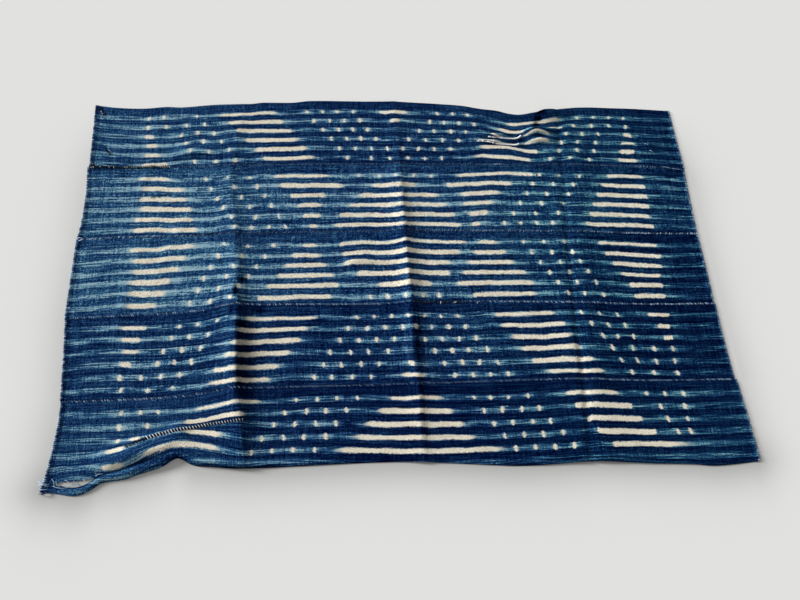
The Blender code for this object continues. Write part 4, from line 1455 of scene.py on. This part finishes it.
def broken_threads():
    """Paths, tones and radii of the loose and frayed ends of thread."""
    table = np.array(BROKEN)
    share = np.linspace(0, 1, 7)
    bend = np.sin(math.pi * share)
    start, end = table[:, :2] * MM, table[:, 2:4] * MM
    run = end - start
    aside = np.stack((-run[:, 1], run[:, 0]), -1) / np.linalg.norm(run, axis=1)[:, None]
    plan = start[:, None] + run[:, None] * share[None, :, None]
    plan = plan + aside[:, None] * (table[:, 4, None] * MM * bend)[..., None]
    base = np.where(plan[..., 1] < -0.3, 2.0, 3.0) * MM
    height = base + table[:, 5, None] * MM * bend
    paths = np.concatenate((plan, height[..., None]), -1)
    return paths, table[:, 6], np.where(table[:, 0] < FRAYED_FROM, 0.9, 0.55) * MM


thread_mesh("broken_threads", [broken_threads()], pale_thread)

# %% [markdown]
# The floor is a plain pale board. A flat cloth casts almost no shadow of its own, but a soft pool
# of shade lies along the near side and both ends. The floor's vertices carry how much of that
# shade they have, and the grid is drawn closer together in the middle, where the shade changes.

# %% Floor
FLOOR_HALF = 6.0
FLOOR_SEGMENTS = 240
FLOOR_CLOSE = 1.15                        # half size of its close middle
FLOOR_DROP = 0.2 * MM                     # how far it lies under the cloth
FLOOR_COLOUR = (0.755, 0.755, 0.740, 1.0)
SHADE_REACH = 48 * MM
NEAR_DEPTH, RIGHT_DEPTH = 0.44, 0.29
LEFT_DEPTHS = (0.30, 0.20)                # at the near corner and at the middle of the left end


def falloff(distance):
    """How much of the shade is left at a distance outside the cloth."""
    return np.exp(-(np.maximum(distance, 0) / SHADE_REACH) ** 1.3)


def floor_shade(x, y):
    """How much darker the floor is at a place in the plan."""
    ends = np.array([end_places(strip, share) for strip in ENDS for share in (0.0, 1.0)])
    at_y = np.array([border(strip - 1 + share, -0.7) for strip in ENDS for share in (0, 1)])
    order = np.argsort(at_y)
    left = np.interp(y, at_y[order], ends[order, 0])
    right_end = np.interp(y, at_y[order], ends[order, 1])
    below = border(5, x) - y
    above = y - border(0, x)
    near = NEAR_DEPTH * falloff(below) * falloff(left - x) * falloff(x - right_end)
    sides = np.interp(y, (-0.45, 0.1), LEFT_DEPTHS) * falloff(left - x) * (x < 0)
    right_depth = RIGHT_DEPTH * np.interp((x - right_end) / MM, (0, 14), (0.4, 1.0))
    sides = sides + right_depth * falloff(x - right_end) * (x >= 0)
    sides = sides * falloff(above * 1.2) * falloff(below) * np.interp(y, (0.25, 0.47), (1.0, 0.0))
    near = near * np.interp(y, (-0.45, -0.3), (1.0, 0.0))
    return np.maximum(near, sides)


# %% Make the floor
floor_mesh = grid_mesh("floor", FLOOR_SEGMENTS, FLOOR_SEGMENTS)
floor_places = read_values(floor_mesh.vertices, "co", 3).astype(float)
evenly = floor_places[:, :2]
floor_places[:, :2] = FLOOR_CLOSE * evenly + (FLOOR_HALF - FLOOR_CLOSE) * evenly ** 9
store_values(floor_mesh.vertices, "co", floor_places)
floor_mesh.update()
floor_x, floor_y = floor_places[:, :2].T + CENTRE[:, None]
point_values(floor_mesh, "shade", floor_shade(floor_x, floor_y))
floor_mesh.shade_smooth()
floor = add_object("floor", floor_mesh)
floor_paint, floor_tree, floor_surface = new_material("pale_floor", 0.0)
feed(floor_surface["Base Color"], blend_colours(fact(floor_tree, "shade"), FLOOR_COLOUR, BLACK))
floor_mesh.materials.append(floor_paint)
floor.location.z = -FLOOR_DROP
print("floor:", len(floor_mesh.polygons), "faces")

# %% [markdown]
# Light. A low soft sun from the left rakes across the cloth, so the creases and the weave show,
# and an even sky fills the shadows. A sun keeps the floor evenly bright.

# %% Lights
KEY_SHARE = 0.55                          # of a flat white surface's brightness
KEY_ELEVATION, KEY_AZIMUTH = math.radians(18), math.radians(158)
KEY_SPREAD = math.radians(14)

sun = add_object("key", bpy.data.lights.new("key", "SUN"))
sun.data.energy = KEY_SHARE * math.pi / math.sin(KEY_ELEVATION)
sun.data.angle = KEY_SPREAD
towards_sun = Vector((math.cos(KEY_AZIMUTH) * math.cos(KEY_ELEVATION),
                      math.sin(KEY_AZIMUTH) * math.cos(KEY_ELEVATION), math.sin(KEY_ELEVATION)))
sun.rotation_euler = towards_sun.to_track_quat("Z", "Y").to_euler()
sky = bpy.data.worlds.new("studio")
sky.use_nodes = True
background = sky.node_tree.nodes["Background"]
background.inputs["Color"].default_value = (1.0, 1.0, 1.0, 1.0)
background.inputs["Strength"].default_value = 1.0 - KEY_SHARE
bpy.context.scene.world = sky
bpy.context.scene.view_settings.view_transform = "Standard"
print("sun:", round(sun.data.energy, 2), "and sky:", round(1.0 - KEY_SHARE, 2))
